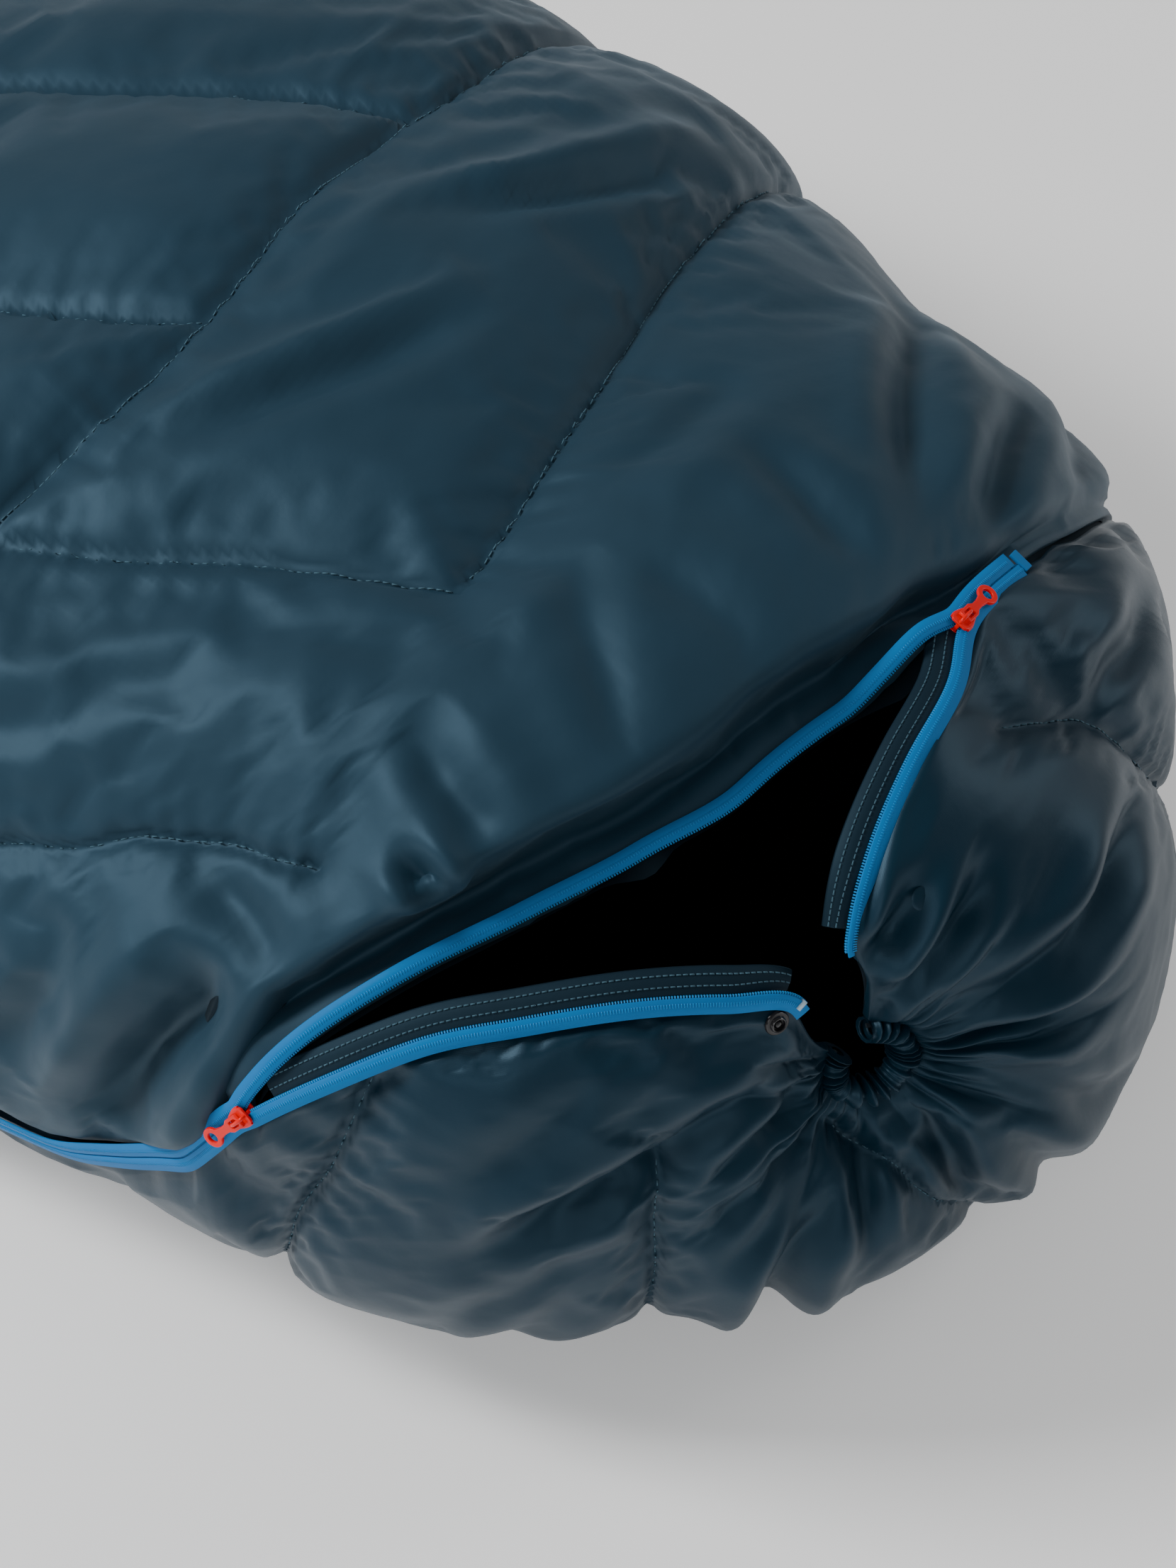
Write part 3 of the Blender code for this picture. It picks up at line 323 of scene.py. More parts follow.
def relief(points, seams, creases, amount, puff):
    """Every point's height: seams sunk in, creases, puckers at the seams, and soft wrinkles."""
    flat = points.reshape(-1, 3)
    height = np.zeros(len(flat))
    nearest = np.full(len(flat), 0.14)
    along = np.zeros(len(flat))
    for number, seam in enumerate(seams):
        places = dense(seam, 0.012)
        d, t = distance_to(flat, surface(places[:, 0], places[:, 1]), 0.14)
        closer = d < nearest
        nearest = np.where(closer, d, nearest)
        along = np.where(closer, t + number * 3.7, along)
    height -= (SEAM_DEPTH * np.exp(-nearest / SEAM_WIDTH) + STITCH_DEPTH * np.exp(-nearest / STITCH_WIDTH)
               + puff * (1 - ease(nearest / PUFF_REACH)) ** 1.5)
    pucker = np.sin(along * 330 + 2.4 * np.sin(along * 71) + 1.7 * np.sin(along * 23))
    strength = 0.45 + 0.55 * np.sin(along * 19 + 1.3)
    height += 0.0013 * pucker * strength * np.exp(-nearest / 0.013) * (nearest > 0.0015)
    for line, depth, width in creases:
        places = dense(line, 0.010)
        path = surface(places[:, 0], places[:, 1])
        total = np.linalg.norm(np.diff(path, axis=0), axis=1).sum()
        d, t = distance_to(flat, path, width * 4)
        taper = ease(t / (0.3 * total)) * ease((total - t) / (0.45 * total))
        valley = np.exp(-((d / width) ** 2)) - 0.35 * np.exp(-(((d - 2 * width) / width) ** 2))
        height -= depth * valley * taper * (d < width * 3.9)
    slow = field(flat, 0.30, 1)
    warp = flat + 0.045 * np.stack([field(flat, 0.16, 2), field(flat, 0.16, 3), 0 * slow], 1)
    soft = field(warp, 0.105, 4, (1.0, 1.9, 1.0))
    ridge = 1 - np.abs(field(warp, 0.060, 5, (1.0, 2.4, 1.0))) * 2.2
    fine = 1 - np.abs(field(warp, 0.026, 6, (1.5, 0.8, 1.0))) * 2.4
    calm = ease(nearest / 0.05)
    height += amount * (0.0042 * soft + 0.0028 * ridge * (0.6 + 0.4 * slow)
                        + 0.0009 * fine * (1 - 0.5 * calm))
    return height.reshape(points.shape[:2]), nearest.reshape(points.shape[:2])


CLOTH_FRAMES = 12
CLOTH_REACH = 0.009
CLOTH_END_Y = -0.05
CLOTH_FADE_ROWS = 22.0


def settle(skin, held, spread, pressure):
    """Lets the cloth of the bag's foot half relax, slightly too large, between its pinned seams."""
    last = int(np.nonzero(skin[..., 1].mean(1) < CLOTH_END_Y)[0].max()) + 1
    picked = np.arange(0, last, 2)
    across = np.arange(0, skin.shape[1], 2)
    points = skin[picked][:, across]
    pinned = held[picked][:, across].copy()
    fade = ease((last - picked) / CLOTH_FADE_ROWS)[:, None]
    pinned = np.maximum(pinned, 1 - fade)
    rows, columns = points.shape[:2]
    index = np.arange(rows * columns).reshape(rows, columns)
    quads = np.stack([index[:-1, :-1], index[1:, :-1], index[1:, 1:], index[:-1, 1:]], -1)
    mesh = bpy.data.meshes.new("cloth")
    mesh.from_pydata(points.reshape(-1, 3).tolist(), [], quads.reshape(-1, 4).tolist())
    item = bpy.data.objects.new("cloth", mesh)
    bpy.context.scene.collection.objects.link(item)
    group = item.vertex_groups.new(name="pinned")
    weights = np.round(np.clip(pinned.reshape(-1), 0, 1), 2)
    for level in np.unique(weights):
        if level > 0:
            group.add(np.nonzero(weights == level)[0].tolist(), float(level), "REPLACE")
    cloth = item.modifiers.new("cloth", "CLOTH")
    settings = cloth.settings
    settings.quality = 6
    settings.mass = 0.12
    settings.tension_stiffness = 18
    settings.compression_stiffness = 18
    settings.shear_stiffness = 6
    settings.bending_stiffness = 0.35
    settings.air_damping = 3
    settings.tension_damping = 12
    settings.compression_damping = 12
    settings.vertex_group_mass = "pinned"
    settings.pin_stiffness = 3
    settings.shrink_min = -spread
    settings.shrink_max = -spread
    settings.use_pressure = True
    settings.uniform_pressure_force = pressure
    settings.use_pressure_volume = False
    settings.effector_weights.gravity = 0
    cloth.collision_settings.use_collision = False
    cloth.collision_settings.use_self_collision = False
    scene = bpy.context.scene
    cloth.point_cache.frame_start = 1
    cloth.point_cache.frame_end = CLOTH_FRAMES
    for step in range(1, CLOTH_FRAMES + 1):
        scene.frame_set(step)
    shape = item.evaluated_get(bpy.context.evaluated_depsgraph_get()).to_mesh()
    moved = np.empty(len(shape.vertices) * 3)
    shape.vertices.foreach_get("co", moved)
    moved = moved.reshape(points.shape)
    bpy.data.objects.remove(item, do_unlink=True)
    scene.frame_set(1)
    shift = moved - points
    size = np.linalg.norm(shift, axis=-1, keepdims=True)
    soft = CLOTH_REACH * np.tanh(size / CLOTH_REACH) / np.maximum(size, 1e-9)
    shift = shift * fade[..., None] * np.minimum(1.0, soft)
    every = np.arange(skin.shape[1])
    wide = np.stack([[np.interp(every, across, row) for row in shift[..., k]] for k in range(3)])
    full = np.stack([[np.interp(np.arange(last), picked, column) for column in layer.T] for layer in wide])
    skin = skin.copy()
    skin[:last] += full.transpose(2, 1, 0)
    return skin


# ------------------------------------------------------------ grids of the quilts
ZIP_EDGE = 0.0062
SEAM_EDGE = 0.0012


def top_angle(across, station):
    near = smooth(station, SIDE_ZIP, 1)
    near = near - margin(near, station, ZIP_EDGE)
    far = margin(0.0 * station, station, SEAM_EDGE)
    return far + (near - far) * across


def along_path(points, spacing_at):
    """The rows of dense columns resampled by length from their last row; columns stay."""
    gaps = np.linalg.norm(np.diff(points, axis=0), axis=-1)
    from_end = np.concatenate([np.cumsum(gaps[::-1], axis=0)[::-1], np.zeros((1, points.shape[1]))])
    shares = spacing_at / spacing_at[-1]
    rows = np.empty((len(shares), points.shape[1], 3))
    for j in range(points.shape[1]):
        at = from_end[::-1, j]
        wanted = shares * at[-1]
        for k in range(3):
            rows[:, j, k] = np.interp(wanted, at, points[::-1, j, k])
    return rows


def spacing(total, fine, coarse, fine_length):
    """Distances from one end: fine steps first, then growing to coarse ones, in a multiple of 3."""
    at, step = [0.0], fine
    while at[-1] < total:
        at.append(at[-1] + step)
        if at[-1] > fine_length:
            step = min(step * 1.03, coarse)
    while (len(at) - 1) % 3:
        at.append(at[-1] + step)
    return np.array(at)


def top_grid():
    across = np.concatenate([np.linspace(0, 0.30, 61)[:-1], np.linspace(0.30, 1.0, 190)])
    across = across[: len(across) - (len(across) - 1) % 3]
    across = across / across[-1]
    foot_angle = top_angle(across, np.full_like(across, 0.90))
    edge, edge_out = smooth(foot_angle, TOP_EDGE, 1), smooth(foot_angle, TOP_EDGE, 2)
    lip, hollow = smooth(foot_angle, LIP, 1), smooth(foot_angle, LIP, 2)
    gap = lip - edge
    stations = [lip + 0.06, lip + 0.018, lip - 0.004, lip - 0.014, edge + 0.60 * gap,
                edge + 0.014 + 0.30 * (gap - 0.014), edge + 0.013]
    outs = [1.0 + 0 * lip, 0.998 + 0 * lip, 0.980 + 0 * lip, 0.40 * 0.98 + 0.60 * hollow, hollow,
            0.5 * (hollow + edge_out), edge_out]
    knots = np.stack([np.stack(stations), np.stack(outs)], -1)
    slopes = np.gradient(knots, axis=0)
    rolled = []
    for k in range(len(knots) - 1):
        for s in np.linspace(0, 1, 12)[1:]:
            rolled.append((2 * s**3 - 3 * s**2 + 1) * knots[k] + (s**3 - 2 * s**2 + s) * slopes[k]
                          + (3 * s**2 - 2 * s**3) * knots[k + 1] + (s**3 - s**2) * slopes[k + 1])
    rolled = np.array(rolled)
    straight = [np.stack([HEAD_STATION + (lip + 0.06 - HEAD_STATION) * k / 240, 1.0 + 0 * lip], -1)
                for k in range(241)]
    places = np.concatenate([np.array(straight), rolled])
    station, out = places[..., 0], places[..., 1]
    points = surface(top_angle(across[None, :], np.maximum(station, 0.90)), station, out)
    return along_path(points, spacing(1.95, 0.0045, 0.0085, 0.55))


def near_angle(station):
    far_along = smooth(station, SIDE_ZIP, 1)
    return np.where(station > 0.90, far_along, smooth(station, NEAR_EDGE, 1))


def bottom_grid():
    across = np.linspace(0, 1, 334)
    stations = np.concatenate([np.linspace(0.034, 0.16, 28)[:-1], np.linspace(0.16, 1.0, 90)[:-1],
                               1.0 + spacing(1.70, 0.008, 0.016, 0.25)])
    stations[117:] = 1.0 + (stations[117:] - 1.0) * (HEAD_STATION - 1.0) / (stations[-1] - 1.0)
    stations = stations[(len(stations) - 1) % 3:]
    near = near_angle(stations)
    near = near + margin(near, stations, ZIP_EDGE)
    far = smooth(stations, FAR_EDGE, 1)
    zipped = 1 - ease((stations - 0.615) / 0.03)
    far = 360.0 + far - margin(far, stations, SEAM_EDGE + (ZIP_EDGE - SEAM_EDGE) * zipped)
    angles = near[:, None] + (far - near)[:, None] * across[None, :]
    return surface(angles, stations[:, None]), angles, np.broadcast_to(stations[:, None], angles.shape)


def pleats(angles, stations):
    """The hem's gathers: many small pleats at the rim that run together into fewer, larger folds."""
    turn = np.radians(angles + 5 * np.sin(np.radians(3 * angles + 20)) + 3 * np.sin(np.radians(7 * angles)))
    small = np.abs(np.sin(17 * turn)) ** 0.8 - 0.5
    middle = np.abs(np.sin(8.5 * turn + 0.9 + 2.0 * stations)) - 0.5
    uneven = 0.6 + 0.4 * np.sin(5 * turn + 1.0)
    rim = 1 - ease((stations - 0.055) / (0.05 + 0.05 * uneven))
    folds = ease((stations - 0.04) / 0.05) * (1 - ease((stations - 0.10) / 0.20))
    return 0.0042 * small * rim + 0.0075 * middle * folds * uneven


def sheet_mesh(name, points, flip=False, uv=None):
    """An object of one grid of points."""
    rows, columns = points.shape[:2]
    points = np.concatenate([points[..., :2], np.maximum(points[..., 2:], 0.0)], -1)
    index = np.arange(rows * columns).reshape(rows, columns)
    quads = np.stack([index[:-1, :-1], index[:-1, 1:], index[1:, 1:], index[1:, :-1]], -1).reshape(-1, 4)
    if flip:
        quads = quads[:, ::-1]
    mesh = bpy.data.meshes.new(name)
    mesh.vertices.add(rows * columns)
    mesh.vertices.foreach_set("co", points.reshape(-1))
    mesh.loops.add(quads.size)
    mesh.loops.foreach_set("vertex_index", quads.reshape(-1).astype(np.int32))
    mesh.polygons.add(len(quads))
    mesh.polygons.foreach_set("loop_start", np.arange(0, quads.size, 4, dtype=np.int32))
    mesh.update(calc_edges=True)
    mesh.validate()
    mesh.shade_smooth()
    if uv is not None:
        layer = mesh.uv_layers.new(name="UVMap")
        layer.data.foreach_set("uv", uv.reshape(-1, 2)[quads.reshape(-1)].astype(np.float32).reshape(-1))
    item = bpy.data.objects.new(name, mesh)
    bpy.context.scene.collection.objects.link(item)
    return item


def needs_flip(points, normals):
    """True if the grid's faces, as sheet_mesh makes them, would point against these directions."""
    along = np.gradient(points, axis=0)
    across = np.gradient(points, axis=1)
    return np.sum(np.cross(along, across) * normals) > 0


def run_lengths(points):
    """How far along a line of points each one is."""
    return np.concatenate([[0], np.cumsum(np.linalg.norm(np.diff(points, axis=0), axis=1))])


def fabric_uv(points):
    along = run_lengths(points[:, points.shape[1] // 2])
    across = run_lengths(points[points.shape[0] * 2 // 3])
    return np.stack(np.broadcast_arrays(across[None, :], along[:, None]), -1)


def with_rim(points, normals, depth=0.006):
    """The grid with its four borders folded inwards by this depth."""
    rows, columns = points.shape[:2]
    wide = np.empty((rows + 2, columns + 2, 3))
    wide[1:-1, 1:-1] = points
    folded = points - normals * depth
    wide[0, 1:-1], wide[-1, 1:-1] = folded[0], folded[-1]
    wide[1:-1, 0], wide[1:-1, -1] = folded[:, 0], folded[:, -1]
    for row, column in ((0, 0), (0, -1), (-1, 0), (-1, -1)):
        wide[row, column] = folded[row, column]
    return wide


def border_distance(points):
    """Roughly how far each grid point is from the grid's border."""
    rows = np.linalg.norm(np.diff(points, axis=0), axis=-1)
    down = np.concatenate([np.zeros((1, points.shape[1])), np.cumsum(rows, axis=0)])
    columns = np.linalg.norm(np.diff(points, axis=1), axis=-1)
    right = np.concatenate([np.zeros((points.shape[0], 1)), np.cumsum(columns, axis=1)], axis=1)
    return np.minimum.reduce([down, down[-1:] - down, right, right[:, -1:] - right])


LOFT = 0.034


def build_quilt(prefix, base, seams, creases, amount, puff, extra=0.0, spread=0.02, pressure=1.0):
    """The quilt's outer skin and its lining."""
    normals = facing(base)
    height, nearest = relief(base, seams, creases, amount, puff)
    border = border_distance(base)
    height = (height + extra) * ease(border / 0.018 + 0.12)
    height -= 0.004 * (1 - ease(border / 0.012))
    skin = base + normals * height[..., None]
    held = np.maximum(np.exp(-((nearest / 0.006) ** 2)), 1 - ease(border / 0.012))
    skin = settle(skin, np.maximum(held, 0.02), spread, pressure)
    skin[..., 2] = np.maximum(skin[..., 2], 0.0005)
    skin_normals = facing(skin)
    rimmed = with_rim(skin, skin_normals)
    turned = needs_flip(skin, skin_normals)
    outer = sheet_mesh(prefix + "_outer_skin", rimmed, flip=turned, uv=fabric_uv(rimmed))
    depth = np.sum((skin - base) * normals, -1)
    for axis in (0, 1):
        depth = np.minimum.reduce([np.roll(depth, k, axis) for k in range(-3, 4)])
    depth = np.minimum(depth, 0.0) - 0.006 - LOFT * ease(border / 0.10)
    coarse = base[::3, ::3] + normals[::3, ::3] * depth[::3, ::3, None]
    flat = coarse.reshape(-1, 3)
    waves = field(flat, 0.07, 9, (1.0, 1.6, 1.0)) * 0.006 + field(flat, 0.028, 10) * 0.002
    waves = waves.reshape(coarse.shape[:2]) * ease(border[::3, ::3] / 0.05)
    coarse = coarse - normals[::3, ::3] * waves[..., None]
    coarse[..., 2] = np.maximum(coarse[..., 2], 0.012)
    lining = sheet_mesh(prefix + "_inner_lining", coarse, flip=not turned, uv=fabric_uv(coarse))
    return outer, lining


# ------------------------------------------------------------ materials
def material(name, colour, roughness, metallic=0.0):
    made = bpy.data.materials.new(name)
    made.use_nodes = True
    shader = made.node_tree.nodes["Principled BSDF"]
    shader.inputs["Base Color"].default_value = (*colour, 1)
    shader.inputs["Roughness"].default_value = roughness
    shader.inputs["Metallic"].default_value = metallic
    return made, made.node_tree, shader


def add_node(tree, kind, **values):
    node = tree.nodes.new(kind)
    for name, value in values.items():
        if name in node.inputs:
            node.inputs[name].default_value = value
        else:
            setattr(node, name, value)
    return node


def fabric(name, colour, deep, roughness, sheen, bump, weave=0.00055):
    """Woven cloth: uneven dye, ribs of warp and weft, and fine puckers in the bump."""
    made, tree, shader = material(name, colour, roughness)
    link = tree.links.new
    coords = add_node(tree, "ShaderNodeTexCoord")
    cloudy = add_node(tree, "ShaderNodeTexNoise", Scale=9.0, Detail=5.0, Roughness=0.6)
    link(coords.outputs["Object"], cloudy.inputs["Vector"])
    ramp = add_node(tree, "ShaderNodeValToRGB")
    ramp.color_ramp.elements[0].position = 0.35
    ramp.color_ramp.elements[0].color = (*deep, 1)
    ramp.color_ramp.elements[1].position = 0.68
    ramp.color_ramp.elements[1].color = (*colour, 1)
    link(cloudy.outputs["Fac"], ramp.inputs["Fac"])
    link(ramp.outputs["Color"], shader.inputs["Base Color"])
    small = add_node(tree, "ShaderNodeTexNoise", Scale=46.0, Detail=4.0, Roughness=0.55)
    link(coords.outputs["Object"], small.inputs["Vector"])
    ribs = []
    for direction in ("X", "Y"):
        wave = add_node(tree, "ShaderNodeTexWave", Scale=0.5 / weave, Distortion=0.6, Detail=1.0)
        wave.bands_direction = direction
        link(coords.outputs["UV"], wave.inputs["Vector"])
        ribs.append(wave)
    weave_sum = add_node(tree, "ShaderNodeMath", operation="ADD")
    link(ribs[0].outputs["Fac"], weave_sum.inputs[0])
    link(ribs[1].outputs["Fac"], weave_sum.inputs[1])
    coarse_bump = add_node(tree, "ShaderNodeBump", Strength=bump, Distance=0.003)
    link(small.outputs["Fac"], coarse_bump.inputs["Height"])
    fine_bump = add_node(tree, "ShaderNodeBump", Strength=0.12, Distance=0.0002)
    link(weave_sum.outputs["Value"], fine_bump.inputs["Height"])
    link(coarse_bump.outputs["Normal"], fine_bump.inputs["Normal"])
    link(fine_bump.outputs["Normal"], shader.inputs["Normal"])
    shader.inputs["Sheen Weight"].default_value = sheen
    shader.inputs["Sheen Roughness"].default_value = 0.45
    shader.inputs["Sheen Tint"].default_value = (0.35, 0.55, 0.70, 1)
    shader.inputs["Specular IOR Level"].default_value = 0.5
    shader.inputs["Specular Tint"].default_value = (0.32, 0.54, 0.72, 1)
    return made


def glossy(name, colour, roughness, grain=220.0, coat=0.4, metallic=0.0):
    """Lacquered or moulded surface with a trace of grain and uneven gloss."""
    made, tree, shader = material(name, colour, roughness, metallic)
    coords = add_node(tree, "ShaderNodeTexCoord")
    grainy = add_node(tree, "ShaderNodeTexNoise", Scale=grain, Detail=3.0)
    tree.links.new(coords.outputs["Object"], grainy.inputs["Vector"])
    spread = add_node(tree, "ShaderNodeMapRange")
    spread.inputs["To Min"].default_value = roughness * 0.8
    spread.inputs["To Max"].default_value = roughness * 1.3
    tree.links.new(grainy.outputs["Fac"], spread.inputs["Value"])
    tree.links.new(spread.outputs["Result"], shader.inputs["Roughness"])
    rough = add_node(tree, "ShaderNodeBump", Strength=0.08, Distance=0.0003)
    tree.links.new(grainy.outputs["Fac"], rough.inputs["Height"])
    tree.links.new(rough.outputs["Normal"], shader.inputs["Normal"])
    shader.inputs["Specular Tint"].default_value = (*[0.3 + 0.7 * v for v in colour], 1)
    shader.inputs["Coat Weight"].default_value = coat
    shader.inputs["Coat Roughness"].default_value = 0.12
    return made


SHELL = fabric("shell_satin", (0.0125, 0.037, 0.060), (0.0105, 0.032, 0.052), 0.52, 0.10, 0.10)
# the flap satin is a darker copy of the shell satin: its darker base colour is painted shade on the foot,
# which faces away from the key light, and its lower roughness and sheen are the glossier flap cloth
FLAP_WITH_PAINTED_SHADE = fabric("flap_satin_painted_shade", (0.0040, 0.020, 0.036), (0.0032, 0.017, 0.031), 0.40, 0.03, 0.10)
FACING = fabric("facing_cloth", (0.0030, 0.0130, 0.0230), (0.0024, 0.010, 0.018), 0.62, 0.02, 0.10)
LINING = fabric("lining_cloth", (0.0045, 0.0095, 0.015), (0.003, 0.007, 0.011), 0.62, 0.05, 0.08)
BINDING = fabric("binding_tape", (0.010, 0.034, 0.056), (0.008, 0.028, 0.046), 0.55, 0.2, 0.05)
THREAD = fabric("thread", (0.060, 0.125, 0.165), (0.045, 0.10, 0.135), 0.6, 0.2, 0.0)
TAPE = fabric("zip_tape_cloth", (0.006, 0.175, 0.470), (0.005, 0.150, 0.420), 0.66, 0.02, 0.03, 0.0004)
COIL = glossy("zip_coil_nylon", (0.012, 0.215, 0.530), 0.45, 400.0, 0.05)
RED = glossy("slider_lacquer", (0.88, 0.0015, 0.001), 0.32, 160.0, 0.15)
STOP = glossy("zip_stop_nylon", (0.45, 0.62, 0.72), 0.4, 200.0, 0.2)
BLACK = glossy("snap_black", (0.007, 0.007, 0.009), 0.22, 260.0, 0.5)
ELASTIC = fabric("elastic_cord", (0.008, 0.008, 0.010), (0.006, 0.006, 0.008), 0.8, 0.1, 0.05)


def dress(item, look, body="bag"):
    item.data.materials.clear()
    item.data.materials.append(look)
    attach(item, body)
    return item


def paint(word, look):
    """Gives a CAD node that stays visible its material."""
    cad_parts[word].data.materials.clear()
    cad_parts[word].data.materials.append(look)


# ------------------------------------------------------------ the quilts; the lower one ends in the flap
top_outer, top_lining = build_quilt(
    "top_quilt", top_grid(), TOP_SEAMS, TOP_CREASES, 0.75, 0.0065, spread=0.012)
base, flap_angles, flap_stations = bottom_grid()
bottom_outer, bottom_lining = build_quilt(
    "bottom_quilt", base, FOOT_SEAMS + BOTTOM_SEAMS, FOOT_CREASES, 0.9, 0.0055,
    pleats(flap_angles, flap_stations))
dress(top_outer, SHELL)
dress(top_lining, LINING)
# the lower quilt's skin takes the darker flap satin, whose base colour holds painted shade
dress(bottom_outer, FLAP_WITH_PAINTED_SHADE)
dress(bottom_lining, LINING)
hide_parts("top_shell", "top_fill")
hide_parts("top_lining")
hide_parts("bottom_shell", "bottom_fill", "foot_shell", "foot_fill")
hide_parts("bottom_lining", "foot_lining")

# ------------------------------------------------------------ zip: rails, tapes and coils
def outward_at(angle, station):
    across = surface(angle + 0.4, station) - surface(angle - 0.4, station)
    along = surface(angle, station + 0.004) - surface(angle, station - 0.004)
    normal = unit(np.cross(across, along))
    here = surface(angle, station)
    middle = np.stack([0 * here[..., 0], here[..., 1] * 0.7, 0 * here[..., 0] + 0.15], -1)
    sign = np.sign(np.sum(normal * (here - middle), -1, keepdims=True))
    return normal * sign


class Rail:
    """Even steps along a zip edge: points, outward directions, ways and the tape's side."""

    def __init__(self, places, towards, step):
        places = np.array(places, float)
        points = surface(places[:, 0], places[:, 1], places[:, 2])
        for _ in range(6):
            points[1:-1] = 0.25 * points[:-2] + 0.5 * points[1:-1] + 0.25 * points[2:]
        at = run_lengths(points)
        self.at = np.arange(0, at[-1], step)
        self.point = np.stack([np.interp(self.at, at, points[:, k]) for k in range(3)], 1)
        place = np.stack([np.interp(self.at, at, places[:, k]) for k in range(3)], 1)
        self.way = unit(np.gradient(self.point, axis=0))
        normal = outward_at(place[:, 0], np.clip(place[:, 1], 0.03, HEAD_STATION - 0.005))
        for _ in range(4):
            normal[1:-1] = (normal[:-2] + normal[1:-1] + normal[2:]) / 3
        self.normal = unit(normal - self.way * np.sum(normal * self.way, 1, keepdims=True))
        self.side = np.cross(self.normal, self.way)
        aim = surface(*towards(place[:, 0], place[:, 1])) - self.point
        self.side = self.side * np.sign(np.sum(self.side * aim))
        self.place = place

    def spot(self, sideways, outwards):
        return self.point + self.side * sideways + self.normal * outwards


def edge_places(table_angle, stations):
    return [(float(smooth(s, table_angle, 1)), float(s), 1.0) for s in stations]


closed_side = edge_places(SIDE_ZIP, np.linspace(HEAD_STATION - 0.004, 0.90, 420))
closed_foot = edge_places(FAR_EDGE, np.linspace(0.53, 0.60, 16))
foot_edge = [(a, float(smooth(a, TOP_EDGE, 1)), float(smooth(a, TOP_EDGE, 2)))
             for a in np.linspace(169.5, 64.5, 160)]
STEP = 0.003
rails = {
    "top": Rail(closed_side + foot_edge + closed_foot, lambda a, s: (a * 0.9, s + 0.08), STEP),
    "bottom": Rail(closed_side + edge_places(NEAR_EDGE, np.linspace(0.895, 0.20, 190)),
                   lambda a, s: (a + 8, s), STEP),
    "foot": Rail(closed_foot[::-1] + edge_places(FAR_EDGE, np.linspace(0.525, 0.21, 80)),
                 lambda a, s: (a - 8, s), STEP),
}


END_LENGTH = 0.05


def end_share(rail):
    """0 along the rail, rising to 1 over its last stretch."""
    return ease(1 - (rail.at[-1] - rail.at) / END_LENGTH)[:, None]


def ribbon(name, rail, profile, start=0, stop=None, narrow=0.0, sink=0.0):
    """A closed band along a rail from a cross section of (sideways, outward) corners."""
    ring = list(profile) + [profile[0]]
    ending = end_share(rail)
    rows = np.stack([rail.spot(side * (1 - narrow * ending), out - sink * ending)[start:stop]
                     for side, out in ring], 1)
    uv = np.stack(np.broadcast_arrays(rail.at[start:stop, None], np.array([p[0] for p in ring])[None, :]), -1)
    item = sheet_mesh(name, rows, uv=uv)
    bm = bmesh.new()
    bm.from_mesh(item.data)
    bmesh.ops.remove_doubles(bm, verts=bm.verts, dist=1e-6)
    bmesh.ops.recalc_face_normals(bm, faces=bm.faces)
    bm.to_mesh(item.data)
    bm.free()
    return item


def blocks(name, spots):
    """One mesh of small six-sided bars; each is (centre, along, across, up) half vectors."""
    centre, along, across, up = (np.array(column) for column in zip(*spots))
    signs = np.array([(x, y, z) for x in (-1, 1) for y in (-1, 1) for z in (-1, 1)], float)
    corners = (centre[:, None] + signs[None, :, :1] * along[:, None]
               + signs[None, :, 1:2] * across[:, None] + signs[None, :, 2:] * up[:, None])
    corners[..., 2] = np.maximum(corners[..., 2], 0.0)
    faces = np.array([(0, 1, 3, 2), (4, 6, 7, 5), (0, 4, 5, 1), (2, 3, 7, 6), (0, 2, 6, 4), (1, 5, 7, 3)])
    quads = (faces[None] + 8 * np.arange(len(centre))[:, None, None]).reshape(-1, 4)
    mesh = bpy.data.meshes.new(name)
    mesh.from_pydata(corners.reshape(-1, 3).tolist(), [], quads.tolist())
    mesh.shade_smooth()
    item = bpy.data.objects.new(name, mesh)
    bpy.context.scene.collection.objects.link(item)
    return item


COIL_PITCH = 0.00135
for name, rail in rails.items():
    tape = ribbon("zip_tape_" + name + "_woven", rail,
                  ((0.0004, 0.0012), (0.0007, 0.0015), (0.0040, 0.0015), (0.0082, 0.0012), (0.0082, 0.0006),
                   (0.0004, 0.0006)), narrow=0.6 if name == "foot" else 0.0)
    dress(tape, TAPE)
    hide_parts("zip_tape_" + name)
    count = int(rail.at[-1] / COIL_PITCH)
    offset = 0.5 if name == "top" else 0.0
    where = (np.arange(count - 1) + offset) * COIL_PITCH
    mix = {key: np.stack([np.interp(where, rail.at, getattr(rail, key)[:, k]) for k in range(3)], 1)
           for key in ("point", "way", "side", "normal")}
    teeth = [(p + s * 0.0014 - n * 0.0001, s * 0.0021, w * 0.00036, n * 0.00055)
             for p, w, s, n in zip(mix["point"], mix["way"], mix["side"], mix["normal"])]
    coil = blocks("zip_coil_" + name + "_teeth", teeth)
    dress(coil, COIL)
    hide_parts("zip_coil_" + name)
    sewn = [(p + s * 0.0036 + n * 0.00152, s * 0.0010, w * 0.00024, n * 0.00016)
            for p, w, s, n in zip(mix["point"], mix["way"], mix["side"], mix["normal"])]
    dress(blocks("zip_tape_" + name + "_stitches", sewn), COIL)


# ------------------------------------------------------------ sliders, pulls and end stops
def chain_frame(angle, station, ahead_angle, ahead_station):
    here = surface(angle, station)
    ahead = unit(surface(ahead_angle, ahead_station) - here)
    normal = outward_at(np.array(float(angle)), np.array(float(station)))
    normal = unit(normal - ahead * (normal @ ahead))
    return here, ahead, normal


def local_matrix(origin, ahead, normal):
    rotation = Matrix((tuple(ahead), tuple(np.cross(normal, ahead)), tuple(normal))).transposed()
    return Matrix.Translation(tuple(origin)) @ rotation.to_4x4()


